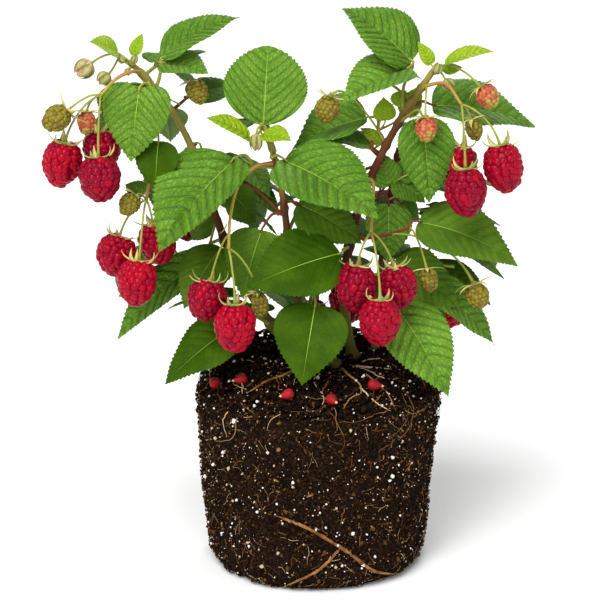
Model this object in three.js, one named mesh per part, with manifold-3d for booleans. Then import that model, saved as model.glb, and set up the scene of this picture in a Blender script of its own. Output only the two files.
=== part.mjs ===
// A raspberry plant in fruit, standing on its bare root ball.
//
// Millimetres, +Z up, +X to the right and +Y to the back. The origin is the
// centre of the flat underside of the root ball. Four canes stand on the soil.
// Each shoot on a cane is one solid: a stem, its leaf stalks and blades, and
// its fruit. The shoots in front are placed leaf by leaf, and the shoots at
// the back grow by a seeded rule that skips what would touch its neighbours.

import * as THREE from 'three';
import Module from 'manifold-3d';

const wasm = await Module();
wasm.setup();

// ---- driving dimensions ----------------------------------------------------

const GAP = 0.3; // clearance between neighbouring pieces
const TOUCH = 0.003; // points of one surface that are nearer than this touch
const PARTING = 0.05; // how far each of them is drawn away from the other

const BALL = {
  rimRadius: 75.5, // at the top edge
  footRadius: 67, // at the underside
  footEdge: 8, // rounding of the lower edge
  rimHeight: 112,
  rimEdge: 4, // rounding of the upper edge
  crownHeight: 126, // the level patch that the canes stand on
  crownRadius: 44,
  lumps: 1.3, // unevenness of the side
  sides: 36,
  surfaceRoot: 1.7, // radius of the thick root that shows on the side
};

// Each cane: foot, two handles and tip of a cubic curve, with its radii.
const CANES = {
  left: { path: [[-10, 2], [-80, 8, 206], [-53, 18, 252], [-110, -3, 311]], foot: 3, tip: 1.6 },
  centre: { path: [[13, -12], [-26, -5, 155], [-9, -7, 218], [-31, -8, 273]], foot: 3, tip: 1.5 },
  right: { path: [[23, 6], [5, 11, 187], [31, -3, 254], [70, -4, 308]], foot: 3.3, tip: 1.8 },
  rear: { path: [[36, 18], [38, 24, 168], [44, 28, 213], [51, 28, 254]], foot: 2.6, tip: 2 },
};
const CANE_FLARE = 1.9; // extra radius at the foot
const CANE_FLARE_HEIGHT = 9;
const CANE_SIDES = 6;
const CANE_STEPS = 14;

const STALK_RADIUS = 0.9; // leaf stalks, where they leave the stem
const PEDICEL_RADIUS = 0.8; // fruit stalks
const STEM_RADIUS = 1.15; // the stem of a shoot
const TWIG_SIDES = 3;
const TWIG_STEPS = 3;
const STALK_STEPS = 2; // of a leaf stalk
const STALK_NECK = 1.2; // a leaf stalk ends this far before its blade
const STALK_ROOT = 0.5; // and starts this far behind the middle of what carries it

// Rows of points from base to tip, by the length that a blade must reach.
const BLADE_ROWS = [
  [34, [0, 0.17, 0.45, 0.76, 1]],
  [16, [0, 0.25, 0.7, 1]],
  [0, [0, 0.45, 1]],
];
const GROWN_ROWS = [0, 0.3, 0.72, 1]; // the same for the leaves that grow by rule
const BLADE_THICKNESS = 1 / 48; // of its length
const BLADE_HEART = 1.3; // how far the two lobes at the base reach back
const BLADE_ARCH = 0.07; // rise of the midrib above the chord
const BLADE_FOLD = 0.12; // rise of the margins above the midrib
const TROUGH = 0.34; // the same on a blade that is folded into a trough
const SKYWARD = [0, -0.25, 0.97]; // the way that a level blade faces

const FRUIT_ROWS = [0.13, 0.45, 0.81]; // shares of its length
const FRUIT_BLUNT = 0.54; // the lower, the blunter both ends of a fruit are
const RIPE_FROM = 18; // width from which a fruit has the greater number of sides
const RIPE_SIDES = 8;
const YOUNG_SIDES = 5;

const LEAF_ROOM = 2.7; // radius kept free round each sampled point of a leaf
const TWIG_ROOM = 2.6;
const CANE_ROOM = 4;

// ---- small helpers -----------------------------------------------------------

const UP = new THREE.Vector3(0, 0, 1);
const NOWHERE = new THREE.Vector3();

function vec(p) {
  return new THREE.Vector3(p[0], p[1], p[2]);
}

function along(p, direction, distance) {
  return p.clone().addScaledVector(direction, distance);
}

function seeded(seed) {
  let state = seed;
  return () => {
    state = (state * 16807) % 2147483647;
    return state / 2147483647;
  };
}

// A closed solid from points and triangles. Points that coincide are merged,
// and the faces are turned outwards.
function solid(points, triangles) {
  const index = new Map();
  const vertices = [];
  const merged = points.map((p) => {
    const key = [p.x, p.y, p.z].map((v) => Math.round(v * 1000)).join();
    if (!index.has(key)) {
      index.set(key, index.size);
      vertices.push(p.x, p.y, p.z);
    }
    return index.get(key);
  });
  const faces = triangles
    .map((t) => t.map((i) => merged[i]))
    .filter(([a, b, c]) => a !== b && b !== c && c !== a);
  const build = (list) => new wasm.Manifold(new wasm.Mesh({
    numProp: 3,
    vertProperties: new Float32Array(vertices),
    triVerts: new Uint32Array(list.flat()),
  }));
  const body = build(faces);
  return body.volume() > 0 ? body : build(faces.map(([a, b, c]) => [a, c, b]));
}

// Rings of points, joined by quads and closed by a fan at each end. In a folded
// loft every other quad is split the other way, so that both faces of a blade
// have the same creases and never cross.
function lofted(rings, folded = false) {
  const sides = rings[0].length;
  const triangles = [];
  for (let i = 0; i + 1 < rings.length; i += 1) {
    for (let j = 0; j < sides; j += 1) {
      const a = i * sides + j;
      const b = i * sides + ((j + 1) % sides);
      if (folded && j % 2 === 0) {
        triangles.push([a, b, a + sides], [b, b + sides, a + sides]);
      } else {
        triangles.push([a, b, b + sides], [a, b + sides, a + sides]);
      }
    }
  }
  const last = (rings.length - 1) * sides;
  for (let j = 1; j + 1 < sides; j += 1) {
    triangles.push([0, j + 1, j], [last, last + j, last + j + 1]);
  }
  return solid(rings.flat(), triangles);
}

// A tapering limb along a curve. `clear` makes it larger all round.
function limb(curve, radiusAt, sides, steps, clear = 0, levelFoot = false) {
  const frames = curve.computeFrenetFrames(steps, false);
  const rings = [];
  const grow = clear / Math.cos(Math.PI / sides);
  for (let i = 0; i <= steps; i += 1) {
    const u = i / steps;
    const level = levelFoot && i === 0;
    const shift = (i === steps ? clear : 0) - (i === 0 ? clear : 0);
    const centre = along(curve.getPointAt(u), level ? UP : frames.tangents[i], shift);
    const across = level ? new THREE.Vector3(1, 0, 0) : frames.normals[i];
    const second = level ? new THREE.Vector3(0, 1, 0) : frames.binormals[i];
    const radius = radiusAt(u) + grow;
    const ring = [];
    for (let j = 0; j < sides; j += 1) {
      const angle = (2 * Math.PI * j) / sides;
      const side = along(centre, across, radius * Math.cos(angle));
      ring.push(along(side, second, radius * Math.sin(angle)));
    }
    rings.push(ring);
  }
  return lofted(rings);
}

// ---- the root ball -----------------------------------------------------------

function ballProfile(clear) {
  const b = BALL;
  return [
    [b.footRadius - b.footEdge, 0],
    [b.footRadius - b.footEdge * 0.3, b.footEdge * 0.3],
    [b.footRadius + b.footEdge * 0.1, b.footEdge],
    [b.footRadius + (b.rimRadius - b.footRadius) * 0.35, b.rimHeight * 0.35],
    [b.footRadius + (b.rimRadius - b.footRadius) * 0.7, b.rimHeight * 0.68],
    [b.rimRadius, b.rimHeight - b.rimEdge],
    [b.rimRadius - b.rimEdge * 0.3, b.rimHeight - b.rimEdge * 0.3],
    [b.rimRadius - b.rimEdge, b.rimHeight],
    [(b.rimRadius + b.crownRadius) / 2, b.rimHeight + (b.crownHeight - b.rimHeight) * 0.55],
    [b.crownRadius, b.crownHeight],
  ].map(([r, z]) => [r + clear, z > 0 ? z + clear : z - clear]);
}

// The uneven side of the soil: slow waves round and up the ball.
function lump(angle, height) {
  const wave = Math.sin(3 * angle + 0.6) + 0.7 * Math.sin(5 * angle - height / 21)
    + 0.6 * Math.sin(9 * angle + height / 13) + 0.5 * Math.sin(14 * angle - height / 9);
  return BALL.lumps * wave * 0.6;
}

function ballPoint(angle, radius, height) {
  const worn = height <= 0 ? 0.4 : 1;
  const r = radius + worn * lump(angle, height);
  return new THREE.Vector3(r * Math.cos(angle), r * Math.sin(angle), height);
}

// The thick root that runs down over the front of the ball, and its branch:
// angle round the ball, height, and share of the full radius.
const ROOT_COURSES = [
  [[-111, 50, 0.8], [-98, 46, 0.9], [-78, 30, 1], [-59, 11, 0.9], [-43, 4, 0.6]],
  [[-78, 30, 0.9], [-89, 16, 0.8], [-106, 4, 0.5]],
];

function surfaceRoot(course) {
  const points = course.map(([degrees, height]) => {
    const angle = THREE.MathUtils.degToRad(degrees);
    const radius = BALL.footRadius + (BALL.rimRadius - BALL.footRadius) * (height / BALL.rimHeight);
    return ballPoint(angle, radius + 0.4, height);
  });
  const curve = new THREE.CatmullRomCurve3(points);
  const thick = (u) => BALL.surfaceRoot * course[Math.round(u * (course.length - 1))][2];
  return limb(curve, thick, 5, 2 * course.length - 2);
}

function rootBall(clear = 0) {
  const rings = ballProfile(clear).map(([radius, height]) => {
    const ring = [];
    for (let j = 0; j < BALL.sides; j += 1) {
      ring.push(ballPoint((2 * Math.PI * j) / BALL.sides, radius, height));
    }
    return ring;
  });
  const soil = lofted(rings);
  return clear > 0 ? soil : wasm.Manifold.union([soil, ...ROOT_COURSES.map(surfaceRoot)]);
}

// ---- the canes ---------------------------------------------------------------

function caneCurve(name) {
  const [foot, low, high, tip] = CANES[name].path;
  const start = [foot[0], foot[1], BALL.crownHeight + GAP];
  return new THREE.CubicBezierCurve3(vec(start), vec(low), vec(high), vec(tip));
}

function cane(name, clear = 0) {
  const { foot, tip } = CANES[name];
  const curve = caneCurve(name);
  const length = curve.getLength();
  const radiusAt = (u) => {
    const flare = CANE_FLARE * Math.max(0, 1 - (u * length) / CANE_FLARE_HEIGHT) ** 2;
    return foot + (tip - foot) * u + flare;
  };
  return limb(curve, radiusAt, CANE_SIDES, CANE_STEPS, clear, true);
}

// ---- leaves ------------------------------------------------------------------

// The leaf's own axes: along the chord, across it, and out of its face.
function leafFrame(leaf) {
  const base = vec(leaf.base);
  const chord = vec(leaf.tip).sub(base);
  const length = chord.length();
  const axis = chord.normalize();
  const wish = vec(leaf.facing ?? [0, -0.8, 0.6]);
  const face = wish.addScaledVector(axis, -wish.dot(axis)).normalize();
  const across = new THREE.Vector3().crossVectors(face, axis);
  return { base, axis, across, face, length, wide: leaf.wide };
}

// A point of the blade. q runs from base to tip along the margin, and v from
// -1 on one margin through 0 on the midrib to 1 on the other.
function bladePoint(frame, leaf, q, v) {
  const { length, wide } = frame;
  const heart = leaf.heart ?? BLADE_HEART;
  const margin = length * (q - heart * q * (1 - q) ** 2);
  const half = (wide / 2) * (leaf.blunt
    ? Math.sin(Math.PI * q) ** 0.62
    : Math.sin(Math.PI * q ** 0.95) * (1 - 0.5 * q ** 6));
  const midrib = length * q ** 3;
  const x = midrib + (margin - midrib) * Math.abs(v);
  const y = half * v;
  const arch = (leaf.arch ?? BLADE_ARCH) * length * 4 * (x / length) * (1 - x / length);
  const z = arch + (leaf.fold ?? BLADE_FOLD) * Math.abs(y);
  const point = along(frame.base, frame.axis, x);
  return along(along(point, frame.across, y), frame.face, z);
}

function bladeRows(leaf, frame) {
  return leaf.course ? GROWN_ROWS : BLADE_ROWS.find(([least]) => frame.length > least)[1];
}

// The room of a blade: a sheet that is larger than the blade by `clear`.
function bladeEnvelope(leaf, clear) {
  const frame = leafFrame(leaf);
  const thick = frame.length * BLADE_THICKNESS;
  const rows = bladeRows(leaf, frame);
  const spread = 1 + (4 * clear) / frame.wide;
  const columns = [-spread, 0, spread];
  const points = [];
  for (const sign of [1, -1]) {
    for (const q of rows) {
      const beyond = q === 0 ? -clear : Number(q === 1) * clear * 2;
      for (const v of columns) {
        const lift = sign * (clear * 1.2 + (v === 0 ? thick / 2 : 0) * Number(q > 0 && q < 1));
        const point = along(bladePoint(frame, leaf, q, v), frame.face, lift);
        points.push(along(point, frame.axis, beyond));
      }
    }
  }
  return solid(points, sheetTriangles(rows.length, columns.length));
}

// Triangles of a sheet with an upper and a lower grid of points and a rim.
function sheetTriangles(rows, columns) {
  const lower = rows * columns;
  const triangles = [];
  const quad = (a, b, c, d) => triangles.push([a, b, c], [a, c, d]);
  for (let i = 0; i + 1 < rows; i += 1) {
    for (let j = 0; j + 1 < columns; j += 1) {
      const a = i * columns + j;
      quad(a, a + 1, a + 1 + columns, a + columns);
      quad(lower + a, lower + a + columns, lower + a + 1 + columns, lower + a + 1);
    }
    const left = i * columns;
    const right = left + columns - 1;
    quad(left, left + columns, lower + left + columns, lower + left);
    quad(right, lower + right, lower + right + columns, right + columns);
  }
  for (let j = 0; j + 1 < columns; j += 1) {
    const end = (rows - 1) * columns + j;
    quad(j, lower + j, lower + j + 1, j + 1);
    quad(end, end + 1, lower + end + 1, lower + end);
  }
  return triangles;
}

// ---- fruit -------------------------------------------------------------------

function fruitFrame(fruit) {
  const top = vec(fruit.top);
  const axis = vec(fruit.tip).sub(top);
  const length = axis.length();
  axis.normalize();
  const side = new THREE.Vector3(1, 0, 0.2).cross(axis).normalize();
  return { top, axis, length, side, second: new THREE.Vector3().crossVectors(axis, side) };
}

function fruitRadius(item, s) {
  return (item.wide / 2) * Math.sin(Math.PI * s ** 0.8) ** FRUIT_BLUNT;
}

function berry(item, clear = 0) {
  const { top, axis, length, side, second } = fruitFrame(item);
  const sides = item.wide > RIPE_FROM ? RIPE_SIDES : YOUNG_SIDES;
  const ring = (radius, depth) => Array.from({ length: sides }, (_, j) => {
    const angle = (2 * Math.PI * j) / sides;
    const point = along(along(top, axis, depth), side, radius * Math.cos(angle));
    return along(point, second, radius * Math.sin(angle));
  });
  return lofted([
    ring(0, -clear),
    ...FRUIT_ROWS.map((s) => ring(fruitRadius(item, s) + clear * 1.2, s * length)),
    ring(0, length + clear),
  ]);
}

// ---- shoots ------------------------------------------------------------------

// The stem of a shoot, from inside its cane to its hub.
function stemCurve(shoot) {
  const start = caneCurve(shoot.cane).getPointAt(shoot.at);
  const points = [start, ...shoot.stem.map(vec)];
  return new THREE.CatmullRomCurve3(points, false, 'centripetal');
}

// A smooth curve through the points, which starts a little behind the first so
// that it is well rooted in what carries it.
function rootedCurve(points) {
  const out = points[1].clone().sub(points[0]).normalize();
  const root = along(points[0], out, -STALK_ROOT);
  return new THREE.CatmullRomCurve3([root, ...points.slice(1)], false, 'centripetal');
}

// A leaf stalk, from inside the stem to just before the base of the blade. The
// stalk of a leaf that grows by rule passes through the points of its course.
function stalkCurve(shoot, leaf) {
  const frame = leafFrame(leaf);
  const neck = along(frame.base, frame.axis, -STALK_NECK);
  if (leaf.course) {
    return rootedCurve([...leaf.course.map(vec), neck]);
  }
  const start = stemCurve(shoot).getPointAt(leaf.from ?? 1);
  const run = start.distanceTo(neck);
  const before = along(neck, frame.axis, -0.4 * run);
  const middle = start.clone().lerp(before, 0.55).addScaledVector(UP, 0.12 * run);
  return rootedCurve(run > 4 ? [start, middle, neck] : [start, neck]);
}

// The stalk and the blade in one piece: four-sided rings along the stalk, of
// which the last is mitred towards the blade, then rows of the blade, each with
// two margins and the two faces of the midrib.
function stalkedBlade(shoot, item) {
  const frame = leafFrame(item);
  const curve = stalkCurve(shoot, item);
  const steps = item.course ? item.course.length : STALK_STEPS;
  const rings = [];
  let heading = frame.axis;
  let { across } = frame;
  for (let i = steps; i >= 0; i -= 1) {
    const next = curve.getTangentAt(i / steps).add(i === steps ? frame.axis : NOWHERE).normalize();
    const turn = new THREE.Quaternion().setFromUnitVectors(heading, next);
    heading = next;
    across = across.clone().applyQuaternion(turn);
    const second = new THREE.Vector3().crossVectors(heading, across);
    const centre = curve.getPointAt(i / steps);
    const radius = STALK_RADIUS * (1.2 - (0.35 * i) / steps);
    const sides = [[across, -radius], [second, radius], [across, radius], [second, -radius]];
    rings.unshift(sides.map(([direction, distance]) => along(centre, direction, distance)));
  }
  const thick = frame.length * BLADE_THICKNESS;
  for (const q of bladeRows(item, frame).slice(1)) {
    const middle = bladePoint(frame, item, q, 0);
    const half = q < 1 ? thick / 2 : 0;
    rings.push([
      bladePoint(frame, item, q, -1),
      along(middle, frame.face, half),
      bladePoint(frame, item, q, 1),
      along(middle, frame.face, -half),
    ]);
  }
  return lofted(rings, true);
}

// A fruit stalk: it rises out of the stem, arches over and hangs into the top.
function pedicelCurve(shoot, fruit) {
  const start = stemCurve(shoot).getPointAt(fruit.from ?? 1);
  const { top, axis } = fruitFrame(fruit);
  const run = start.distanceTo(top);
  const rise = start.clone().lerp(top, 0.35).addScaledVector(UP, 0.22 * run);
  const before = along(top, axis, -0.38 * run);
  return new THREE.CubicBezierCurve3(start, rise, before, along(top, axis, 2.5));
}

function tapering(from, to) {
  return (u) => from + (to - from) * u;
}

// Everything that a shoot is made of, as separate solids.
function shootParts(shoot, clear = 0) {
  const twig = (curve, from, to, steps = TWIG_STEPS) => (
    limb(curve, tapering(from, to), TWIG_SIDES, steps, clear)
  );
  const parts = [];
  if (shoot.stem.length > 0) {
    const steps = shoot.stem.length + 1 + Number(shoot.stem.length > 1);
    parts.push(twig(stemCurve(shoot), STEM_RADIUS * 1.25, STEM_RADIUS, steps));
  }
  for (const item of shoot.leaves) {
    if (clear > 0) {
      parts.push(twig(stalkCurve(shoot, item), STALK_RADIUS * 1.2, STALK_RADIUS));
      parts.push(bladeEnvelope(item, clear));
    } else {
      parts.push(stalkedBlade(shoot, item));
    }
  }
  for (const item of shoot.fruit) {
    parts.push(twig(pedicelCurve(shoot, item), PEDICEL_RADIUS * 1.1, PEDICEL_RADIUS * 0.9));
    parts.push(berry(item, clear));
  }
  return parts;
}

function leaf(base, tip, wide, options = {}) {
  return { base, tip, wide, ...options };
}

function fruit(top, tip, wide, options = {}) {
  return { top, tip, wide, ...options };
}

const LEVEL = { facing: SKYWARD, fold: TROUGH };
const YOUNG = { facing: [0, -0.5, 0.87], fold: 0.25 };

// The shoots that are placed leaf by leaf: blades by base, tip and width, and
// fruit by top, tip and width. `from` is the place on the stem, 1 at its end.
const PLACED = [
  {
    name: 'left_crown', cane: 'left', at: 1, stem: [[-116, -4, 316]],
    leaves: [
      leaf([-118, -5, 318], [-134, -14, 326], 19, YOUNG),
      leaf([-109, -2, 316], [-104, 6, 328], 8, { from: 0.2 }),
    ],
    fruit: [
      fruit([-133, -10, 313], [-142, -12, 306], 11.5),
      fruit([-123, -9, 306], [-129, -12, 301], 8.5),
    ],
  },
  {
    name: 'left_top_leaves', cane: 'left', at: 0.9, stem: [[-94, 4, 302], [-93, 4, 311]],
    leaves: [
      leaf([-92, 4, 314], [-46, 10, 337], 37, { facing: SKYWARD, fold: 0.28 }),
      leaf([-91, 2, 311], [-64, -14, 307], 27, { facing: [0, -0.4, 0.92], fold: 0.2 }),
      leaf([-95, 6, 311], [-105, 20, 314], 12, { facing: [0, -0.3, 1] }),
    ],
    fruit: [],
  },
  {
    name: 'left_front_leaves', cane: 'left', at: 0.935, stem: [[-98, -8, 295]],
    leaves: [
      leaf([-105, -16, 298], [-110, -24, 256], 41, { facing: [-0.1, -0.95, 0.3], heart: 2.1 }),
      leaf([-94, -17, 267], [-96, -23, 238], 26, { facing: [-0.1, -0.9, 0.3] }),
    ],
    fruit: [],
  },
  {
    name: 'left_upper_truss', cane: 'left', at: 0.965,
    stem: [[-110, -14, 308], [-118, -20, 305], [-127, -24, 296]],
    leaves: [],
    fruit: [
      fruit([-147, -26, 287], [-161, -30, 277], 16),
      fruit([-149, -22, 267], [-154, -22, 239], 25),
      fruit([-128, -37, 261], [-127, -39, 233], 26),
      fruit([-129, -12, 272], [-127, -10, 247], 24),
      fruit([-136, -20, 285], [-136, -20, 270], 12),
    ],
  },
  {
    name: 'left_bud_spray', cane: 'left', at: 0.82, stem: [[-78, 6, 289]],
    leaves: [
      leaf([-77, 14, 288], [-48, 34, 292], 23, { facing: [0, -0.6, 0.8], fold: 0.15 }),
    ],
    fruit: [
      fruit([-73, 0, 300], [-68, -4, 286], 13),
    ],
  },
  {
    name: 'left_mid_spray', cane: 'left', at: 0.69,
    stem: [[-90, -4, 251], [-100, -10, 240], [-102, -14, 231]],
    leaves: [
      leaf([-104, -2, 232], [-116, 6, 236], 13, { from: 0.9 }),
    ],
    fruit: [
      fruit([-118, -22, 210], [-123, -26, 185], 25),
      fruit([-105, -43, 200], [-108, -47, 172], 25),
      fruit([-98, -15, 216], [-93, -13, 189], 24),
      fruit([-108, -22, 235], [-116, -26, 224], 13.5),
    ],
  },
  {
    name: 'left_low_leaves', cane: 'left', at: 0.42, stem: [[-65, 6, 199]],
    leaves: [
      leaf([-64, 22, 214], [-78, 28, 196], 24, { facing: [-0.3, -0.7, 0.7] }),
      leaf([-58, 0, 198], [-80, -24, 166], 36, { facing: [-0.3, -0.8, 0.6] }),
      leaf([-68, 14, 188], [-123, 8, 138], 40, { facing: [-0.5, -0.4, 0.77], fold: 0.2 }),
    ],
    fruit: [],
  },
  {
    name: 'left_base_leaf', cane: 'left', at: 0.13, stem: [[-38, -10, 158]],
    leaves: [
      leaf([-46, -22, 157], [-91, -42, 124], 36, { facing: [-0.3, -0.7, 0.7] }),
    ],
    fruit: [],
  },
  {
    name: 'centre_crown', cane: 'centre', at: 1, stem: [[-33, -9, 276]],
    leaves: [
      leaf([-32, -4, 274], [-29, 10, 320], 50, { facing: [0, -0.97, 0.3], heart: 0.25, blunt: true }),
      leaf([-40, -14, 269], [-66, -26, 283], 18, { ...YOUNG, from: 0.5 }),
      leaf([-32, -14, 271], [-15, -26, 269], 17, { ...YOUNG, from: 0.5 }),
    ],
    fruit: [
      fruit([-36, -19, 272], [-36, -21, 262], 7.5, { from: 0.4 }),
    ],
  },
  {
    name: 'centre_left_leaf', cane: 'centre', at: 0.84, stem: [[-38, -11, 251]],
    leaves: [
      leaf([-50, -16, 256], [-93, -52, 207], 58, { facing: [-0.3, -0.5, 0.8], fold: 0.36 }),
    ],
    fruit: [],
  },
  {
    name: 'centre_right_leaf', cane: 'centre', at: 0.92, stem: [[-27, -12, 256]],
    leaves: [
      leaf([-19, -16, 256], [36, -52, 228], 54, { facing: [0.15, -0.6, 0.77], fold: 0.25 }),
    ],
    fruit: [],
  },
  {
    name: 'centre_truss', cane: 'centre', at: 0.86,
    stem: [[-36, -18, 252], [-46, -30, 244], [-51, -38, 226], [-52, -44, 208]],
    leaves: [],
    fruit: [
      fruit([-63, -44, 188], [-68, -46, 163], 25, { from: 0.88 }),
      fruit([-48, -61, 178], [-48, -63, 148], 26),
      fruit([-35, -36, 179], [-32, -36, 163], 11),
    ],
  },
  {
    name: 'centre_mid_leaves', cane: 'centre', at: 0.68, stem: [[-20, -15, 222]],
    leaves: [
      leaf([-33, -18, 213], [-44, -28, 173], 38, { facing: [-0.3, -0.8, 0.5] }),
      leaf([-52, 2, 232], [-37, 8, 211], 26, { facing: [0, -0.6, 0.8] }),
      leaf([-11, -6, 227], [28, -8, 202], 38, { facing: [0.1, -0.6, 0.8] }),
    ],
    fruit: [],
  },
  {
    name: 'centre_front_leaf', cane: 'centre', at: 0.36, stem: [[-4, -22, 178]],
    leaves: [
      leaf([-1, -38, 172], [-9, -58, 128], 44, { facing: [0, -0.9, 0.45] }),
    ],
    fruit: [],
  },
  {
    name: 'right_front_leaf', cane: 'right', at: 0.37, stem: [[16, -14, 200]],
    leaves: [
      leaf([14, -26, 201], [-41, -42, 184], 48, { facing: [0, -0.75, 0.65], heart: 0.8 }),
    ],
    fruit: [],
  },
  {
    name: 'right_crown', cane: 'right', at: 1, stem: [[72, -5, 310]],
    leaves: [
      leaf([68, -4, 311], [60, 0, 324], 9, { from: 0.6 }),
      leaf([76, -6, 311], [104, -14, 320], 23, LEVEL),
      leaf([75, -3, 307], [87, 3, 308], 8, { from: 0.6 }),
    ],
    fruit: [
      fruit([97, -16, 299], [106, -18, 287], 14.5),
      fruit([76, -9, 303], [80, -11, 297], 7.5, { from: 0.5 }),
    ],
  },
  {
    name: 'right_top_leaves', cane: 'right', at: 0.83, stem: [[52, 3, 296], [57, 3, 308]],
    leaves: [
      leaf([57, 5, 312], [15, 10, 342], 47, { facing: [0.35, -0.55, 0.75], fold: 0.25 }),
      leaf([54, -4, 309], [15, -25, 292], 39, { facing: [-0.1, -0.45, 0.89], fold: 0.28 }),
    ],
    fruit: [],
  },
  {
    name: 'right_upper_truss', cane: 'right', at: 0.93,
    stem: [[66, -8, 299], [76, -14, 301], [85, -22, 290]],
    leaves: [],
    fruit: [
      fruit([108, -26, 266], [113, -28, 236], 25),
      fruit([87, -37, 254], [88, -39, 224], 26),
      fruit([87, -12, 262], [84, -10, 236], 21),
      fruit([91.5, -18, 280], [95.5, -18, 267], 11),
      fruit([64, -23, 282], [65, -25, 267], 14, { from: 0.15 }),
    ],
  },
  {
    name: 'right_side_leaf', cane: 'right', at: 0.86, stem: [[62, 6, 286]],
    leaves: [
      leaf([70, 11, 284], [133, 18, 269], 48, { facing: [0.1, -0.42, 0.9], fold: 0.3 }),
    ],
    fruit: [],
  },
  {
    name: 'right_hanging_leaf', cane: 'right', at: 0.8, stem: [[58, -10, 284]],
    leaves: [
      leaf([63, -13, 280], [67, -19, 230], 34, { facing: [0.1, -0.9, 0.4] }),
    ],
    fruit: [],
  },
  {
    name: 'right_inner_leaves', cane: 'right', at: 0.72, stem: [[37, 2, 270]],
    leaves: [
      leaf([30, 12, 276], [-15, 16, 255], 54, { facing: [-0.2, -0.3, 0.92], fold: TROUGH }),
      leaf([34, 4, 259], [8, 2, 263], 24, { ...LEVEL, from: 0.4 }),
      leaf([41, 2, 276], [40, 4, 290], 14),
    ],
    fruit: [
      fruit([8, -10, 292], [4, -12, 276], 16),
    ],
  },
  {
    name: 'right_mid_leaves', cane: 'right', at: 0.55, stem: [[38, 6, 228]],
    leaves: [
      leaf([44, 5, 224], [43, -4, 190], 29, { facing: [0.1, -0.9, 0.4] }),
      leaf([48, 9, 238], [66, 4, 225], 24, { facing: [0.2, -0.6, 0.8] }),
      leaf([46, 12, 237], [41, 16, 252], 12),
      leaf([52, 16, 222], [63, 15, 213], 14),
    ],
    fruit: [],
  },
  {
    name: 'right_wing', cane: 'right', at: 0.42,
    stem: [[30, -8, 206], [44, -11, 209], [56, -9, 213]],
    leaves: [
      leaf([62, -8, 216], [121, -18, 191], 43, { facing: [0.15, -0.6, 0.75], fold: 0.2, arch: 0.11 }),
    ],
    fruit: [
      fruit([66, -22, 190], [69, -24, 175], 12),
      fruit([95, -18, 179], [100, -20, 164], 15, { from: 0.7 }),
    ],
  },
  {
    name: 'right_low_truss', cane: 'right', at: 0.6,
    stem: [[34, -14, 240], [33, -26, 230], [32, -36, 216]],
    leaves: [],
    fruit: [
      fruit([24, -38, 196], [22, -40, 166], 26),
      fruit([37, -57, 180], [37, -59, 151], 26),
      fruit([46, -34, 194], [52, -34, 168], 24),
    ],
  },
  {
    name: 'right_low_leaves', cane: 'right', at: 0.26, stem: [[32, 2, 180], [42, 0, 182]],
    leaves: [
      leaf([48, 2, 189], [87, -4, 161], 38, { facing: [0.2, -0.7, 0.7] }),
      leaf([66, 10, 173], [110, 4, 135], 40, { facing: [0.5, -0.4, 0.75], fold: 0.22 }),
      leaf([47, -16, 167], [79, -46, 117], 44, { facing: [0.3, -0.8, 0.6] }),
    ],
    fruit: [],
  },
];

// ---- shoots that grow by rule --------------------------------------------------

// Each grown shoot: where it leaves its cane, its heading seen from above (90
// is straight back), how far it reaches and rises, and the space it keeps to.
const GROWN = [
  { name: 'rear_left_low', cane: 'left', at: 0.14, heading: 112, reach: 60, rise: 20, seed: 416,
    middle: [-50, 62, 156], radii: [58, 56, 42], nodes: 7, fruit: 2 },
  { name: 'rear_left_side', cane: 'left', at: 0.3, heading: 150, reach: 44, rise: 4, seed: 10,
    middle: [-92, 40, 160], radii: [44, 48, 44], nodes: 5, fruit: 0 },
  { name: 'rear_left_mid', cane: 'left', at: 0.52, heading: 98, reach: 54, rise: 14, seed: 745,
    middle: [-62, 56, 214], radii: [52, 54, 44], nodes: 7, fruit: 3 },
  { name: 'rear_left_upper', cane: 'left', at: 0.86, heading: 120, reach: 26, rise: -4, seed: 717,
    middle: [-104, 28, 272], radii: [38, 36, 34], nodes: 4, fruit: 0 },
  { name: 'rear_left_top', cane: 'left', at: 0.95, heading: 62, reach: 22, rise: 4, seed: 724,
    middle: [-78, 30, 304], radii: [40, 36, 28], nodes: 4, fruit: 0 },
  { name: 'rear_middle_low', cane: 'centre', at: 0.2, heading: 84, reach: 84, rise: 20, seed: 654,
    middle: [6, 84, 158], radii: [56, 54, 42], nodes: 8, fruit: 2 },
  { name: 'rear_middle_high', cane: 'centre', at: 0.58, heading: 72, reach: 62, rise: 16, seed: 906,
    middle: [2, 58, 222], radii: [52, 60, 46], nodes: 8, fruit: 3 },
  { name: 'rear_centre_top', cane: 'centre', at: 0.95, heading: 80, reach: 26, rise: 4, seed: 45,
    middle: [-28, 34, 284], radii: [38, 40, 36], nodes: 4, fruit: 0 },
  { name: 'rear_right_low', cane: 'rear', at: 0.2, heading: 56, reach: 56, rise: 20, seed: 479,
    middle: [68, 64, 156], radii: [56, 56, 42], nodes: 7, fruit: 2 },
  { name: 'rear_right_side', cane: 'rear', at: 0.36, heading: 14, reach: 48, rise: 6, seed: 269,
    middle: [100, 44, 164], radii: [46, 46, 42], nodes: 5, fruit: 0 },
  { name: 'rear_right_mid', cane: 'rear', at: 0.6, heading: 62, reach: 50, rise: 14, seed: 108,
    middle: [66, 62, 214], radii: [52, 54, 44], nodes: 7, fruit: 3 },
  { name: 'rear_right_high', cane: 'rear', at: 0.96, heading: 66, reach: 26, rise: 8, seed: 374,
    middle: [66, 50, 262], radii: [44, 44, 34], nodes: 4, fruit: 0 },
  { name: 'rear_right_top', cane: 'right', at: 0.88, heading: 104, reach: 26, rise: 0, seed: 906,
    middle: [44, 30, 298], radii: [40, 38, 34], nodes: 4, fruit: 0 },
];

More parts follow.
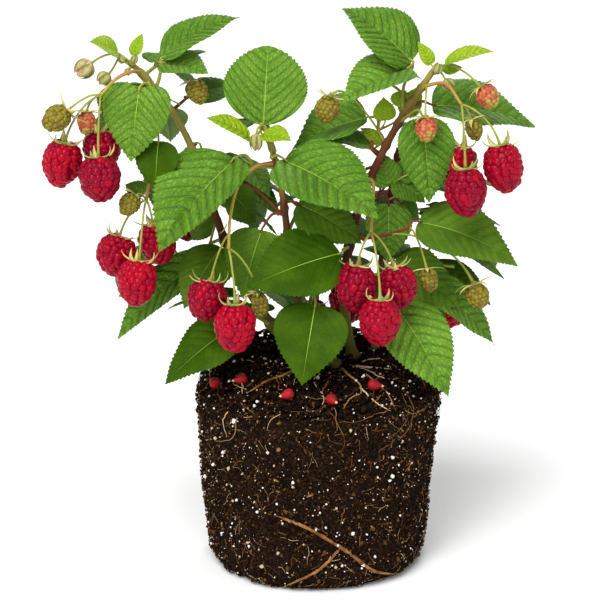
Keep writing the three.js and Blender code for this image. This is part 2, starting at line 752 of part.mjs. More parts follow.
const LEAFLET_LENGTH = [40, 58]; // shortest and longest end leaflet
const LEAFLET_WIDTH = 0.72; // of its length
const SIDE_LEAFLET = 0.82; // of the end leaflet's length
const END_STALK = 8; // from the hub of a compound leaf to its end leaflet
const SIDE_STALK = 2.5;
const SIDE_TURN = 62; // degrees between the end leaflet and each side leaflet
const STALK_LENGTH = [7, 22];
const DROOP = [0.1, 1.2]; // fall of a blade for each millimetre of its run
const TRIES = 12; // draws for each leaf, of which the one with most leaflets stays
const LEAF_TURN = [25, 110]; // degrees between the stem and a leaf on its side
const END_SWAY = 40; // degrees that the end leaf may turn, both sides together
const LEAFLET_SWAY = 16; // the same for a leaflet
const LEAFLET_LEAN = 0.3; // how far a leaflet faces outwards rather than up
const LEAVES_FROM = 0.2; // share of the stem before its first leaf
const LEAVES_RUN = 0.75; // share of the stem that bears leaves
const STALK_LIFT = [-6, 14]; // rise of a leaf stalk
const STALK_BOW = 2; // how far its middle is lifted
const RIPE_WIDE = 24.5;
const RIPE_LONG = 28;
const FRUIT_TURN = 85; // degrees from fruit to fruit round the end of the stem
const FRUIT_SWAY = 70; // degrees that a fruit may turn, both sides together
const FRUIT_REACH = 17; // from the end of the stem, seen from above
const FRUIT_DROP = [12, 30]; // from the end of the stem down to the top of the fruit
const FRUIT_LEAN = 2; // outward lean of a fruit over its length
const SOIL_ROOM = 4; // kept free over the soil
const RIM_ROOM = 6; // kept free round the ball below that

function heading(degrees) {
  const angle = THREE.MathUtils.degToRad(degrees);
  return new THREE.Vector3(Math.cos(angle), Math.sin(angle), 0);
}

function between(random, [low, high]) {
  return low + (high - low) * random();
}

// Spheres that a leaf, a fruit or a stalk takes up, for the test of room.
function leafRoom(item) {
  const frame = leafFrame(item);
  const spheres = [];
  for (const q of [0.1, 0.26, 0.42, 0.58, 0.74, 0.9]) {
    for (const v of [-0.9, -0.45, 0, 0.45, 0.9]) {
      spheres.push([bladePoint(frame, item, q, v), LEAF_ROOM]);
    }
  }
  return spheres;
}

function fruitRoom(item) {
  return [0.3, 0.7].map((s) => [vec(item.top).lerp(vec(item.tip), s), item.wide / 2 + 0.5]);
}

function curveRoom(curve, radius, count) {
  const spheres = [];
  for (let i = 1; i <= count; i += 1) {
    spheres.push([curve.getPointAt(i / count), radius]);
  }
  return spheres;
}

function shootRoom(shoot) {
  const spheres = curveRoom(stemCurve(shoot), TWIG_ROOM, 10);
  for (const item of shoot.leaves) {
    spheres.push(...leafRoom(item), ...curveRoom(stalkCurve(shoot, item), TWIG_ROOM, 4));
  }
  for (const item of shoot.fruit) {
    spheres.push(...fruitRoom(item), ...curveRoom(pedicelCurve(shoot, item), TWIG_ROOM, 5));
  }
  return spheres;
}

function clearOf(spheres, taken) {
  return spheres.every(([p, r]) => taken.every(([q, s]) => p.distanceTo(q) > r + s));
}

function insideSpace(spheres, plan) {
  const soil = BALL.crownHeight + SOIL_ROOM;
  const beside = BALL.rimRadius + RIM_ROOM;
  return spheres.every(([p]) => {
    const d = p.clone().sub(vec(plan.middle)).divide(vec(plan.radii));
    return d.length() < 1 && (p.z > soil || Math.hypot(p.x, p.y) > beside);
  });
}

// A compound leaf: an end leaflet and two side leaflets round one hub.
function compoundLeaf(random, hub, degrees) {
  const length = between(random, LEAFLET_LENGTH);
  const droop = between(random, DROOP);
  return [0, SIDE_TURN, -SIDE_TURN].map((turn) => {
    const out = heading(degrees + turn + LEAFLET_SWAY * (random() - 0.5));
    const long = length * (turn === 0 ? 1 : SIDE_LEAFLET);
    const fall = 1 / Math.hypot(1, droop);
    const base = along(hub, out, turn === 0 ? END_STALK : SIDE_STALK);
    const tip = along(along(base, out, long * fall), UP, -long * fall * droop);
    const facing = along(UP, out, LEAFLET_LEAN).toArray();
    return leaf(base.toArray(), tip.toArray(), long * LEAFLET_WIDTH, { course: [hub.toArray()], facing });
  });
}

// Ripe fruit hangs in a ring from the end of the stem, where there is room.
function growFruit(random, plan, shoot, taken) {
  const end = stemCurve(shoot).getPointAt(1);
  for (let k = 0; k < plan.fruit; k += 1) {
    const turn = (k - (plan.fruit - 1) / 2) * FRUIT_TURN + FRUIT_SWAY * (random() - 0.5);
    const out = heading(plan.heading + turn);
    const top = along(along(end, out, FRUIT_REACH), UP, -between(random, FRUIT_DROP));
    const tip = along(along(top, out, FRUIT_LEAN), UP, -RIPE_LONG);
    const item = fruit(top.toArray(), tip.toArray(), RIPE_WIDE);
    const room = fruitRoom(item);
    if (clearOf(room, taken) && insideSpace(room, plan)) {
      shoot.fruit.push(item);
    }
  }
}

// One draw of a leaf at place k of the stem: the course of its stalk, and the
// leaflets that neither leave the shoot's space nor touch anything.
function drawLeaf(random, plan, shoot, k, full) {
  const last = k === plan.nodes;
  const side = random() < 0.5 ? 1 : -1;
  const sideways = last ? END_SWAY * (random() - 0.5) : side * between(random, LEAF_TURN);
  const turn = plan.heading + sideways;
  const start = stemCurve(shoot).getPointAt(last ? 1 : LEAVES_FROM + (LEAVES_RUN * k) / plan.nodes);
  const lift = between(random, STALK_LIFT);
  const hub = along(along(start, heading(turn), between(random, STALK_LENGTH)), UP, lift);
  const bend = start.clone().lerp(hub, 0.5).addScaledVector(UP, STALK_BOW);
  const stalk = [0.6, 0.8, 1].map((share) => [start.clone().lerp(hub, share), 1]);
  const leaflets = compoundLeaf(random, hub, turn).filter((item) => {
    const room = leafRoom(item);
    return insideSpace(room, plan) && clearOf([...room, ...stalk], full);
  });
  return { course: [start.toArray(), bend.toArray()], leaflets };
}

// Leaves stand along the stem and one ends it. Each is drawn several times, and
// the draw with most leaflets stays.
function growLeaves(random, plan, shoot, taken) {
  const full = [...taken, ...shootRoom(shoot)];
  for (let k = 0; k <= plan.nodes; k += 1) {
    let best = { leaflets: [] };
    for (let draw = 0; draw < TRIES; draw += 1) {
      const next = drawLeaf(random, plan, shoot, k, full);
      best = next.leaflets.length > best.leaflets.length ? next : best;
    }
    if (best.leaflets.length > 0) {
      best.leaflets[0].course.unshift(...best.course);
      shoot.leaves.push(...best.leaflets);
      best.leaflets.forEach((item) => full.push(...leafRoom(item)));
    }
  }
}

// A shoot that has only its stem yet.
function bareShoot(plan) {
  const start = caneCurve(plan.cane).getPointAt(plan.at);
  const out = heading(plan.heading);
  const stem = [[0.4, 0.7], [0.75, 1], [1, 0.85]].map(([run, rise]) => (
    along(along(start, out, run * plan.reach), UP, rise * plan.rise).toArray()
  ));
  return { name: plan.name, cane: plan.cane, at: plan.at, stem, leaves: [], fruit: [] };
}

function grow(plan, taken) {
  const random = seeded(plan.seed);
  const shoot = bareShoot(plan);
  growFruit(random, plan, shoot, taken);
  growLeaves(random, plan, shoot, taken);
  return shoot;
}

// What is taken before the first shoot grows: the placed shoots, the canes and
// the stems of all shoots to come.
function takenRoom() {
  const taken = PLACED.flatMap(shootRoom);
  for (const name of Object.keys(CANES)) {
    taken.push(...curveRoom(caneCurve(name), CANE_ROOM, 40));
  }
  for (const plan of GROWN) {
    taken.push(...curveRoom(stemCurve(bareShoot(plan)), TWIG_ROOM, 16));
  }
  return taken;
}

function allShoots() {
  const taken = takenRoom();
  const shoots = [...PLACED];
  for (const plan of GROWN) {
    const shoot = grow(plan, taken);
    shoots.push(shoot);
    taken.push(...shootRoom(shoot));
  }
  return shoots;
}

// ---- assembly ----------------------------------------------------------------

const COLOURS = {
  soil: { color: 0x2e221a, roughness: 0.95, metalness: 0 },
  cane: { color: 0x6a5530, roughness: 0.65, metalness: 0 },
  leaf: { color: 0x4f8a34, roughness: 0.5, metalness: 0 },
  truss: { color: 0xb3203a, roughness: 0.35, metalness: 0 },
};

// The positions of a surface, in which points that touch without being joined
// are drawn apart, each towards the middle of its own neighbours.
function partedPositions(vertProperties, triVerts) {
  const points = [];
  for (let i = 0; i < vertProperties.length; i += 3) {
    points.push(new THREE.Vector3().fromArray(vertProperties, i));
  }
  const parted = vertProperties.slice();
  points.forEach((point, i) => {
    if (points.some((other, j) => j !== i && point.distanceToSquared(other) < TOUCH ** 2)) {
      const middle = new THREE.Vector3();
      for (let k = 0; k < triVerts.length; k += 3) {
        const face = triVerts.slice(k, k + 3);
        if (face.includes(i)) {
          face.forEach((corner) => middle.add(points[corner]).sub(point));
        }
      }
      along(point, middle.normalize(), PARTING).toArray(parted, 3 * i);
    }
  });
  return parted;
}

function mesh(name, body, colour) {
  const { vertProperties, triVerts } = body.getMesh();
  const geometry = new THREE.BufferGeometry();
  const positions = partedPositions(vertProperties, triVerts);
  geometry.setAttribute('position', new THREE.BufferAttribute(positions, 3));
  geometry.setIndex(new THREE.BufferAttribute(triVerts, 1));
  const result = new THREE.Mesh(geometry, new THREE.MeshStandardMaterial(COLOURS[colour]));
  result.name = name;
  return result;
}

function boxesMeet(a, b) {
  const p = a.boundingBox();
  const q = b.boundingBox();
  return [0, 1, 2].every((i) => p.min[i] <= q.max[i] && q.min[i] <= p.max[i]);
}

// The shoot as one solid, cut clear of everything in `obstacles`. Scraps that
// a cut leaves loose are dropped.
function fuse(shoot, obstacles) {
  let body = wasm.Manifold.union(shootParts(shoot));
  for (const obstacle of obstacles) {
    if (boxesMeet(body, obstacle)) {
      body = body.subtract(obstacle);
    }
  }
  const pieces = body.decompose();
  pieces.sort((a, b) => b.volume() - a.volume());
  return pieces[0].asOriginal().simplify(0.06);
}

const plant = new THREE.Group();
plant.add(mesh('root_ball', rootBall(), 'soil'));
const obstacles = [rootBall(GAP)];
for (const name of Object.keys(CANES)) {
  plant.add(mesh(`cane_${name}`, cane(name), 'cane'));
  obstacles.push(cane(name, GAP));
}
for (const shoot of allShoots()) {
  plant.add(mesh(shoot.name, fuse(shoot, obstacles), shoot.fruit.length > 1 ? 'truss' : 'leaf'));
  obstacles.push(wasm.Manifold.union(shootParts(shoot, GAP)));
}

export default plant;
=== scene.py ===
"""A raspberry plant in fruit, standing on its bare root ball.

Lengths are millimetres until a mesh is made. The shoots are those of the CAD
source: the front ones are placed leaf by leaf, and the rear ones grow by the
same seeded rule from the same seeds, so each piece lies on its own solid.
"""

import math

import bpy
import numpy as np
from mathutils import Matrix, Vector, noise


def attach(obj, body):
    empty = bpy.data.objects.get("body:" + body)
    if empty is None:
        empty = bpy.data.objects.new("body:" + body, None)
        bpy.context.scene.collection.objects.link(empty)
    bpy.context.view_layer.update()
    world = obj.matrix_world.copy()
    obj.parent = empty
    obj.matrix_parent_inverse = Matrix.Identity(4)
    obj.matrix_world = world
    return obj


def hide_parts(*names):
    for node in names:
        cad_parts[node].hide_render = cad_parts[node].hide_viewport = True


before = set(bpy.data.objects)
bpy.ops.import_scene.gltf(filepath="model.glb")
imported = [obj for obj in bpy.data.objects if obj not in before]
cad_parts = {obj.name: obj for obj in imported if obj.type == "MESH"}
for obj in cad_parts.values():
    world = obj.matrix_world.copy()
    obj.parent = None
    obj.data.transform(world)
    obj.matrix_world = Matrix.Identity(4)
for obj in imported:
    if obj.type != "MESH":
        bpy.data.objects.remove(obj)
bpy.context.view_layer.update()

# ---- dimensions shared with the CAD source ----

MM = 0.001
UP = np.array([0.0, 0.0, 1.0])

GAP = 0.3  # between the soil and the canes
BALL = {
    "rim_radius": 75.5,
    "foot_radius": 67,
    "foot_edge": 8,
    "rim_height": 112,
    "rim_edge": 4,
    "crown_height": 126,
    "crown_radius": 44,
    "lumps": 1.3,
    "surface_root": 1.7,
}
CANES = {
    "left": {"path": [(-10, 2), (-80, 8, 206), (-53, 18, 252), (-110, -3, 311)], "foot": 3, "tip": 1.6},
    "centre": {"path": [(13, -12), (-26, -5, 155), (-9, -7, 218), (-31, -8, 273)], "foot": 3, "tip": 1.5},
    "right": {"path": [(23, 6), (5, 11, 187), (31, -3, 254), (70, -4, 308)], "foot": 3.3, "tip": 1.8},
    "rear": {"path": [(36, 18), (38, 24, 168), (44, 28, 213), (51, 28, 254)], "foot": 2.6, "tip": 2},
}
CANE_FLARE = 1.9
CANE_FLARE_HEIGHT = 9
STALK_RADIUS = 0.9
STALK_NECK = 1.2
STALK_ROOT = 0.5
STEM_RADIUS = 1.15
BLADE_HEART = 1.3
BLADE_ARCH = 0.07
BLADE_FOLD = 0.12
LEAF_ROOM = 2.7
TWIG_ROOM = 2.6
CANE_ROOM = 4
LEAFLET_LENGTH = (40, 58)
LEAFLET_WIDTH = 0.72
SIDE_LEAFLET = 0.82
END_STALK = 8
SIDE_STALK = 2.5
SIDE_TURN = 62
STALK_LENGTH = (7, 22)
DROOP = (0.1, 1.2)
TRIES = 12
LEAF_TURN = (25, 110)
END_SWAY = 40
LEAFLET_SWAY = 16
LEAFLET_LEAN = 0.3
LEAVES_FROM = 0.2
LEAVES_RUN = 0.75
STALK_LIFT = (-6, 14)
STALK_BOW = 2
RIPE_WIDE = 24.5
RIPE_LONG = 28
FRUIT_TURN = 85
FRUIT_SWAY = 70
FRUIT_REACH = 17
FRUIT_DROP = (12, 30)
FRUIT_LEAN = 2
SOIL_ROOM = 4
RIM_ROOM = 6

# Angle round the ball, height and share of the full radius along the thick root
# that shows on the side of the ball, and along its branch.
ROOT_COURSES = [
    [(-111, 50, 0.8), (-98, 46, 0.9), (-78, 30, 1), (-59, 11, 0.9), (-43, 4, 0.6)],
    [(-78, 30, 0.9), (-89, 16, 0.8), (-106, 4, 0.5)],
]

# Values of the looks alone.
SEED = 64
RIPE_FROM = 18  # the least width of a ripe fruit
DRAWN_LONG = 0.95  # share of a fruit's length that is drawn
DRAWN_ROOT = 0.66  # share of the thick root's radius that is drawn


# ---- curves and the seeded rule ----


def vec(p):
    return np.array(p, float)


def unit(v):
    return v / np.linalg.norm(v, axis=-1, keepdims=True)


def seeded(seed):
    state = seed

    def draw():
        nonlocal state
        state = state * 16807 % 2147483647
        return state / 2147483647

    return draw


class Curve:
    """A curve that is read by its share of length, in 200 straight divisions."""

    def measure(self):
        shares = np.linspace(0, 1, 201)
        points = self.raw(shares)
        lengths = np.r_[0, np.cumsum(np.linalg.norm(np.diff(points, axis=0), axis=1))]
        self.shares, self.lengths, self.length = shares, lengths, lengths[-1]

    def at(self, u):
        u = np.atleast_1d(np.asarray(u, float))
        return self.raw(np.interp(u * self.length, self.lengths, self.shares))

    def point(self, u):
        return self.at(u)[0]


class Cubic(Curve):
    def __init__(self, *handles):
        self.handles = [vec(h) for h in handles]
        self.measure()

    def raw(self, t):
        a, b, c, d = self.handles
        t = t[:, None]
        return (1 - t) ** 3 * a + 3 * (1 - t) ** 2 * t * b + 3 * (1 - t) * t**2 * c + t**3 * d


class Through(Curve):
    """A centripetal curve through points."""

    def __init__(self, points):
        points = [vec(p) for p in points]
        first, last = 2 * points[0] - points[1], 2 * points[-1] - points[-2]
        self.knots = np.array([first, *points, last])
        self.measure()

    def raw(self, t):
        spans = len(self.knots) - 3
        place = np.minimum(t * spans, spans - 1e-9)
        i = place.astype(int)
        w = (place - i)[:, None]
        p0, p1, p2, p3 = (self.knots[i + k] for k in range(4))
        sides = ((p0, p1), (p1, p2), (p2, p3))
        d0, d1, d2 = (np.linalg.norm(b - a, axis=1, keepdims=True) ** 0.5 for a, b in sides)
        t1 = d1 * ((p1 - p0) / d0 - (p2 - p0) / (d0 + d1) + (p2 - p1) / d1)
        t2 = d1 * ((p2 - p1) / d1 - (p3 - p1) / (d1 + d2) + (p3 - p2) / d2)
        return p1 + t1 * w + (3 * (p2 - p1) - 2 * t1 - t2) * w**2 + (2 * (p1 - p2) + t1 + t2) * w**3


def cane_curve(name):
    foot, low, high, tip = CANES[name]["path"]
    return Cubic((*foot, BALL["crown_height"] + GAP), low, high, tip)


CANE_CURVES = {name: cane_curve(name) for name in CANES}

# ---- shoots: the CAD source's tables ----

SKYWARD = {"facing": (0, -0.25, 0.97)}
YOUNG = {"facing": (0, -0.5, 0.87), "fold": 0.25}


def leaf(base, tip, wide, tone=None, quilt=1, **form):
    """A blade. tone names its green, and quilt is the share of its swellings."""
    return {"base": vec(base), "tip": vec(tip), "wide": wide, "tone": tone, "quilt": quilt, **form}


def fruit(top, tip, wide, tone=None, start=1):
    tone = tone or ("ripe" if wide > RIPE_FROM else "olive")
    return {"top": vec(top), "tip": vec(tip), "wide": wide, "tone": tone, "start": start}


def shoot(name, at, stem, leaves, berries=(), tone="green", cane=None):
    """A side shoot at a share of its cane, which is the first word of its name unless it is given."""
    cane = cane or name.split("_")[0]
    return {"name": name, "cane": cane, "at": at, "stem": stem, "leaves": leaves, "fruit": berries,
            "tone": tone}


# Blades by base, tip and width, and fruit by top, tip and width. `start` is the
# place on the stem. Tones and quilt belong to the looks alone.
PLACED = [
    shoot("left_crown", 1, [(-116, -4, 316)], [
        leaf((-118, -5, 318), (-134, -14, 326), 19, "young", **YOUNG),
        leaf((-109, -2, 316), (-104, 6, 328), 8, "young", start=0.2),
    ], [
        fruit((-133, -10, 313), (-142, -12, 306), 11.5, "bloom"),
        fruit((-123, -9, 306), (-129, -12, 301), 8.5, "green_bud"),
    ]),
    shoot("left_top_leaves", 0.9, [(-94, 4, 302), (-93, 4, 311)], [
        leaf((-92, 4, 314), (-46, 10, 337), 37, "mid", fold=0.28, **SKYWARD),
        leaf((-91, 2, 311), (-64, -14, 307), 27, "fresh", facing=(0, -0.4, 0.92), fold=0.2),
        leaf((-95, 6, 311), (-105, 20, 314), 12, "mid", facing=(0, -0.3, 1)),
    ]),
    shoot("left_front_leaves", 0.935, [(-98, -8, 295)], [
        leaf((-105, -16, 298), (-110, -24, 256), 41, "fresh", 1.3, facing=(-0.1, -0.95, 0.3), heart=2.1),
        leaf((-94, -17, 267), (-96, -23, 238), 26, "shade", 0.4, facing=(-0.1, -0.9, 0.3)),
    ]),
    shoot("left_upper_truss", 0.965, [(-110, -14, 308), (-118, -20, 305), (-127, -24, 296)], [], [
        fruit((-147, -26, 287), (-161, -30, 277), 16),
        fruit((-149, -22, 267), (-154, -22, 239), 25),
        fruit((-128, -37, 261), (-127, -39, 233), 26),
        fruit((-129, -12, 272), (-127, -10, 247), 24),
        fruit((-136, -20, 285), (-136, -20, 270), 12, "coral"),
    ], tone="ochre"),
    shoot("left_bud_spray", 0.82, [(-78, 6, 289)], [
        leaf((-77, 14, 288), (-48, 34, 292), 23, "deep", 0.4, facing=(0, -0.6, 0.8), fold=0.15),
    ], [
        fruit((-73, 0, 300), (-68, -4, 286), 13),
    ], tone="red"),
    shoot("left_mid_spray", 0.69, [(-90, -4, 251), (-100, -10, 240), (-102, -14, 231)], [
        leaf((-104, -2, 232), (-116, 6, 236), 13, start=0.9),
    ], [
        fruit((-118, -22, 210), (-123, -26, 185), 25),
        fruit((-105, -43, 200), (-108, -47, 172), 25),
        fruit((-98, -15, 216), (-93, -13, 189), 24),
        fruit((-108, -22, 235), (-116, -26, 224), 13.5),
    ], tone="ochre"),
    shoot("left_low_leaves", 0.42, [(-65, 6, 199)], [
        leaf((-64, 22, 214), (-78, 28, 196), 24, "deep", facing=(-0.3, -0.7, 0.7)),
        leaf((-58, 0, 198), (-80, -24, 166), 36, "deep", 0.4, facing=(-0.3, -0.8, 0.6)),
        leaf((-68, 14, 188), (-123, 8, 138), 40, "mid", 0.6, facing=(-0.5, -0.4, 0.77), fold=0.2),
    ]),
    shoot("left_base_leaf", 0.13, [(-38, -10, 158)], [
        leaf((-46, -22, 157), (-91, -42, 124), 36, "shade", 0.4, facing=(-0.3, -0.7, 0.7)),
    ]),
    shoot("centre_crown", 1, [(-33, -9, 276)], [
        leaf((-32, -4, 274), (-29, 10, 320), 50, "fresh", facing=(0, -0.97, 0.3), heart=0.25, blunt=True),
        leaf((-40, -14, 269), (-66, -26, 283), 18, "young", start=0.5, **YOUNG),
        leaf((-32, -14, 271), (-15, -26, 269), 17, "young", start=0.5, **YOUNG),
    ], [
        fruit((-36, -19, 272), (-36, -21, 262), 7.5, "bud", start=0.4),
    ]),
    shoot("centre_left_leaf", 0.84, [(-38, -11, 251)], [
        leaf((-50, -16, 256), (-93, -52, 207), 58, "mid", 1.3, facing=(-0.3, -0.5, 0.8), fold=0.36),
    ]),
    shoot("centre_right_leaf", 0.92, [(-27, -12, 256)], [
        leaf((-19, -16, 256), (36, -52, 228), 54, "mid", 1.3, facing=(0.15, -0.6, 0.77), fold=0.25),
    ]),
    shoot("centre_truss", 0.86, [
        (-36, -18, 252), (-46, -30, 244), (-51, -38, 226), (-52, -44, 208),
    ], [], [
        fruit((-63, -44, 188), (-68, -46, 163), 25, start=0.88),
        fruit((-48, -61, 178), (-48, -63, 148), 26),
        fruit((-35, -36, 179), (-32, -36, 163), 11),
    ], tone="ochre"),
    shoot("centre_mid_leaves", 0.68, [(-20, -15, 222)], [
        leaf((-33, -18, 213), (-44, -28, 173), 38, "deep", 0.4, facing=(-0.3, -0.8, 0.5)),
        leaf((-52, 2, 232), (-37, 8, 211), 26, "deep", facing=(0, -0.6, 0.8)),
        leaf((-11, -6, 227), (28, -8, 202), 38, "deep", facing=(0.1, -0.6, 0.8)),
    ], tone="red"),
    shoot("centre_front_leaf", 0.36, [(-4, -22, 178)], [
        leaf((-1, -38, 172), (-9, -58, 128), 44, "shade", 0.3, facing=(0, -0.9, 0.45)),
    ]),
    shoot("right_front_leaf", 0.37, [(16, -14, 200)], [
        leaf((14, -26, 201), (-41, -42, 184), 48, "shade", 0.4, facing=(0, -0.75, 0.65), heart=0.8),
    ]),
    shoot("right_crown", 1, [(72, -5, 310)], [
        leaf((68, -4, 311), (60, 0, 324), 9, "young", start=0.6),
        leaf((76, -6, 311), (104, -14, 320), 23, "young", fold=0.34, **SKYWARD),
        leaf((75, -3, 307), (87, 3, 308), 8, "young", start=0.6),
    ], [
        fruit((97, -16, 299), (106, -18, 287), 14.5, "coral"),
        fruit((76, -9, 303), (80, -11, 297), 7.5, "green_bud", start=0.5),
    ]),
    shoot("right_top_leaves", 0.83, [(52, 3, 296), (57, 3, 308)], [
        leaf((57, 5, 312), (15, 10, 342), 47, "mid", 1.2, facing=(0.35, -0.55, 0.75), fold=0.25),
        leaf((54, -4, 309), (15, -25, 292), 39, "fresh", facing=(-0.1, -0.45, 0.89), fold=0.28),
    ]),
    shoot("right_upper_truss", 0.93, [(66, -8, 299), (76, -14, 301), (85, -22, 290)], [], [
        fruit((108, -26, 266), (113, -28, 236), 25),
        fruit((87, -37, 254), (88, -39, 224), 26),
        fruit((87, -12, 262), (84, -10, 236), 21),
        fruit((91.5, -18, 280), (95.5, -18, 267), 11),
        fruit((64, -23, 282), (65, -25, 267), 14, "coral", start=0.15),
    ], tone="ochre"),
    shoot("right_side_leaf", 0.86, [(62, 6, 286)], [
        leaf((70, 11, 284), (133, 18, 269), 48, "mid", 0.6, facing=(0.1, -0.42, 0.9), fold=0.3),
    ], tone="red"),
    shoot("right_hanging_leaf", 0.8, [(58, -10, 284)], [
        leaf((63, -13, 280), (67, -19, 230), 34, "mid", facing=(0.1, -0.9, 0.4)),
    ]),
    shoot("right_inner_leaves", 0.72, [(37, 2, 270)], [
        leaf((30, 12, 276), (-15, 16, 255), 54, "mid", 0.6, facing=(-0.2, -0.3, 0.92), fold=0.34),
        # These two blades take lighter greens, fresh and young, as painted light, since they lie in shade.
        leaf((34, 4, 259), (8, 2, 263), 24, "fresh", fold=0.34, start=0.4, **SKYWARD),
        leaf((41, 2, 276), (40, 4, 290), 14, "young"),
    ], [
        fruit((8, -10, 292), (4, -12, 276), 16),
    ]),
    shoot("right_mid_leaves", 0.55, [(38, 6, 228)], [
        leaf((44, 5, 224), (43, -4, 190), 29, "mid", 0.5, facing=(0.1, -0.9, 0.4)),
        leaf((48, 9, 238), (66, 4, 225), 24, "mid", facing=(0.2, -0.6, 0.8)),
        leaf((46, 12, 237), (41, 16, 252), 12),
        leaf((52, 16, 222), (63, 15, 213), 14),
    ], tone="red"),
    shoot("right_wing", 0.42, [(30, -8, 206), (44, -11, 209), (56, -9, 213)], [
        leaf((62, -8, 216), (121, -18, 191), 43, "deep", 0.6, facing=(0.15, -0.6, 0.75), fold=0.2, arch=0.11),
    ], [
        fruit((66, -22, 190), (69, -24, 175), 12),
        fruit((95, -18, 179), (100, -20, 164), 15, start=0.7),
    ], tone="red"),
    shoot("right_low_truss", 0.6, [(34, -14, 240), (33, -26, 230), (32, -36, 216)], [], [
        fruit((24, -38, 196), (22, -40, 166), 26),
        fruit((37, -57, 180), (37, -59, 151), 26),
        fruit((46, -34, 194), (52, -34, 168), 24),
    ], tone="ochre"),
    shoot("right_low_leaves", 0.26, [(32, 2, 180), (42, 0, 182)], [
        leaf((48, 2, 189), (87, -4, 161), 38, "deep", facing=(0.2, -0.7, 0.7)),
        leaf((66, 10, 173), (110, 4, 135), 40, "fresh", 0.6, facing=(0.5, -0.4, 0.75), fold=0.22),
        leaf((47, -16, 167), (79, -46, 117), 44, "fresh", 0.8, facing=(0.3, -0.8, 0.6)),
    ]),
]

# Their cane and place on it, heading, reach and rise, seed, the middle and the radii of
# their space, and how many leaves and fruit they try.
PLAN = ("name", "cane", "at", "heading", "reach", "rise", "seed", "middle", "radii", "nodes", "fruit_count")
GROWN = [dict(zip(PLAN, row)) for row in (
    ("rear_left_low", "left", 0.14, 112, 60, 20, 416, (-50, 62, 156), (58, 56, 42), 7, 2),
    ("rear_left_side", "left", 0.3, 150, 44, 4, 10, (-92, 40, 160), (44, 48, 44), 5, 0),
    ("rear_left_mid", "left", 0.52, 98, 54, 14, 745, (-62, 56, 214), (52, 54, 44), 7, 3),
    ("rear_left_upper", "left", 0.86, 120, 26, -4, 717, (-104, 28, 272), (38, 36, 34), 4, 0),
    ("rear_left_top", "left", 0.95, 62, 22, 4, 724, (-78, 30, 304), (40, 36, 28), 4, 0),
    ("rear_middle_low", "centre", 0.2, 84, 84, 20, 654, (6, 84, 158), (56, 54, 42), 8, 2),
    ("rear_middle_high", "centre", 0.58, 72, 62, 16, 906, (2, 58, 222), (52, 60, 46), 8, 3),
    ("rear_centre_top", "centre", 0.95, 80, 26, 4, 45, (-28, 34, 284), (38, 40, 36), 4, 0),
    ("rear_right_low", "rear", 0.2, 56, 56, 20, 479, (68, 64, 156), (56, 56, 42), 7, 2),
    ("rear_right_side", "rear", 0.36, 14, 48, 6, 269, (100, 44, 164), (46, 46, 42), 5, 0),
    ("rear_right_mid", "rear", 0.6, 62, 50, 14, 108, (66, 62, 214), (52, 54, 44), 7, 3),
    ("rear_right_high", "rear", 0.96, 66, 26, 8, 374, (66, 50, 262), (44, 44, 34), 4, 0),
    ("rear_right_top", "right", 0.88, 104, 26, 0, 906, (44, 30, 298), (40, 38, 34), 4, 0),
)]

# Small leaves that fill in by the right cane, in the space of two of its shoots.
INFILL = {
    "right_inner_leaves": [
        # These three take the pale young green, partly as painted light, since they lie in shade.
        leaf((46, 3, 286), (54, 4, 294), 9, "young", facing=(0, -0.9, 0.4)),
        leaf((53, 8, 278), (63, 10, 296), 14, "young", 0.6, facing=(0, -0.9, 0.4)),
        leaf((39, 3, 262), (26, 5, 271), 10, "young", 0.5, facing=(0, -0.6, 0.8)),
    ],
    "right_mid_leaves": [
        leaf((44, 6, 235), (38, 4, 257), 19, "fresh", 0.8, facing=(0, -0.8, 0.6)),
        leaf((50, 8, 240), (64, 9, 251), 15, "mid", facing=(0.1, -0.8, 0.6)),
    ],
}


# ---- the forms that shoots are made of ----


def leaf_frame(item):
    chord = item["tip"] - item["base"]
    length = np.linalg.norm(chord)
    axis = chord / length
    wish = vec(item.get("facing", (0, -0.8, 0.6)))
    face = unit(wish - axis * wish.dot(axis))
    across = np.cross(face, axis)
    return {"base": item["base"], "axis": axis, "face": face, "across": across, "length": length}


def blade_plan(item, length, q, v):
    """Along and across the blade: q along the margin, v from margin to margin."""
    heart = item.get("heart", BLADE_HEART)
    margin = length * (q - heart * q * (1 - q) ** 2)
    if item.get("blunt"):
        half = item["wide"] / 2 * np.sin(np.pi * q) ** 0.62
    else:
        half = item["wide"] / 2 * np.sin(np.pi * q**0.95) * (1 - 0.5 * q**6)
    midrib = length * q**3
    return midrib + (margin - midrib) * np.abs(v), half * v


def blade_rise(item, length, x, y):
    arch = item.get("arch", BLADE_ARCH) * length * 4 * (x / length) * (1 - x / length)
    return arch + item.get("fold", BLADE_FOLD) * np.abs(y)


def place_on(f, x, y, z):
    return f["base"] + x[..., None] * f["axis"] + y[..., None] * f["across"] + z[..., None] * f["face"]


def blade_points(item, q, v):
    f = leaf_frame(item)
    x, y = blade_plan(item, f["length"], q, v)
    return place_on(f, x, y, blade_rise(item, f["length"], x, y))


def stem_curve(one):
    return Through([CANE_CURVES[one["cane"]].point(one["at"]), *one["stem"]])


def rooted_curve(points):
    points = [vec(p) for p in points]
    return Through([points[0] - STALK_ROOT * unit(points[1] - points[0]), *points[1:]])


def stalk_curve(one, item):
    f = leaf_frame(item)
    neck = f["base"] - STALK_NECK * f["axis"]
    if "course" in item:
        return rooted_curve([*item["course"], neck])
    start = stem_curve(one).point(item.get("start", 1))
    run = np.linalg.norm(neck - start)
    before = neck - 0.4 * run * f["axis"]
    middle = start + 0.55 * (before - start) + 0.12 * run * UP
    return rooted_curve([start, middle, neck] if run > 4 else [start, neck])


def fruit_frame(item):
    axis = item["tip"] - item["top"]
    length = np.linalg.norm(axis)
    axis = axis / length
    side = unit(np.cross((1, 0, 0.2), axis))
    second = np.cross(axis, side)
    return {"top": item["top"], "axis": axis, "side": side, "second": second, "length": DRAWN_LONG * length}


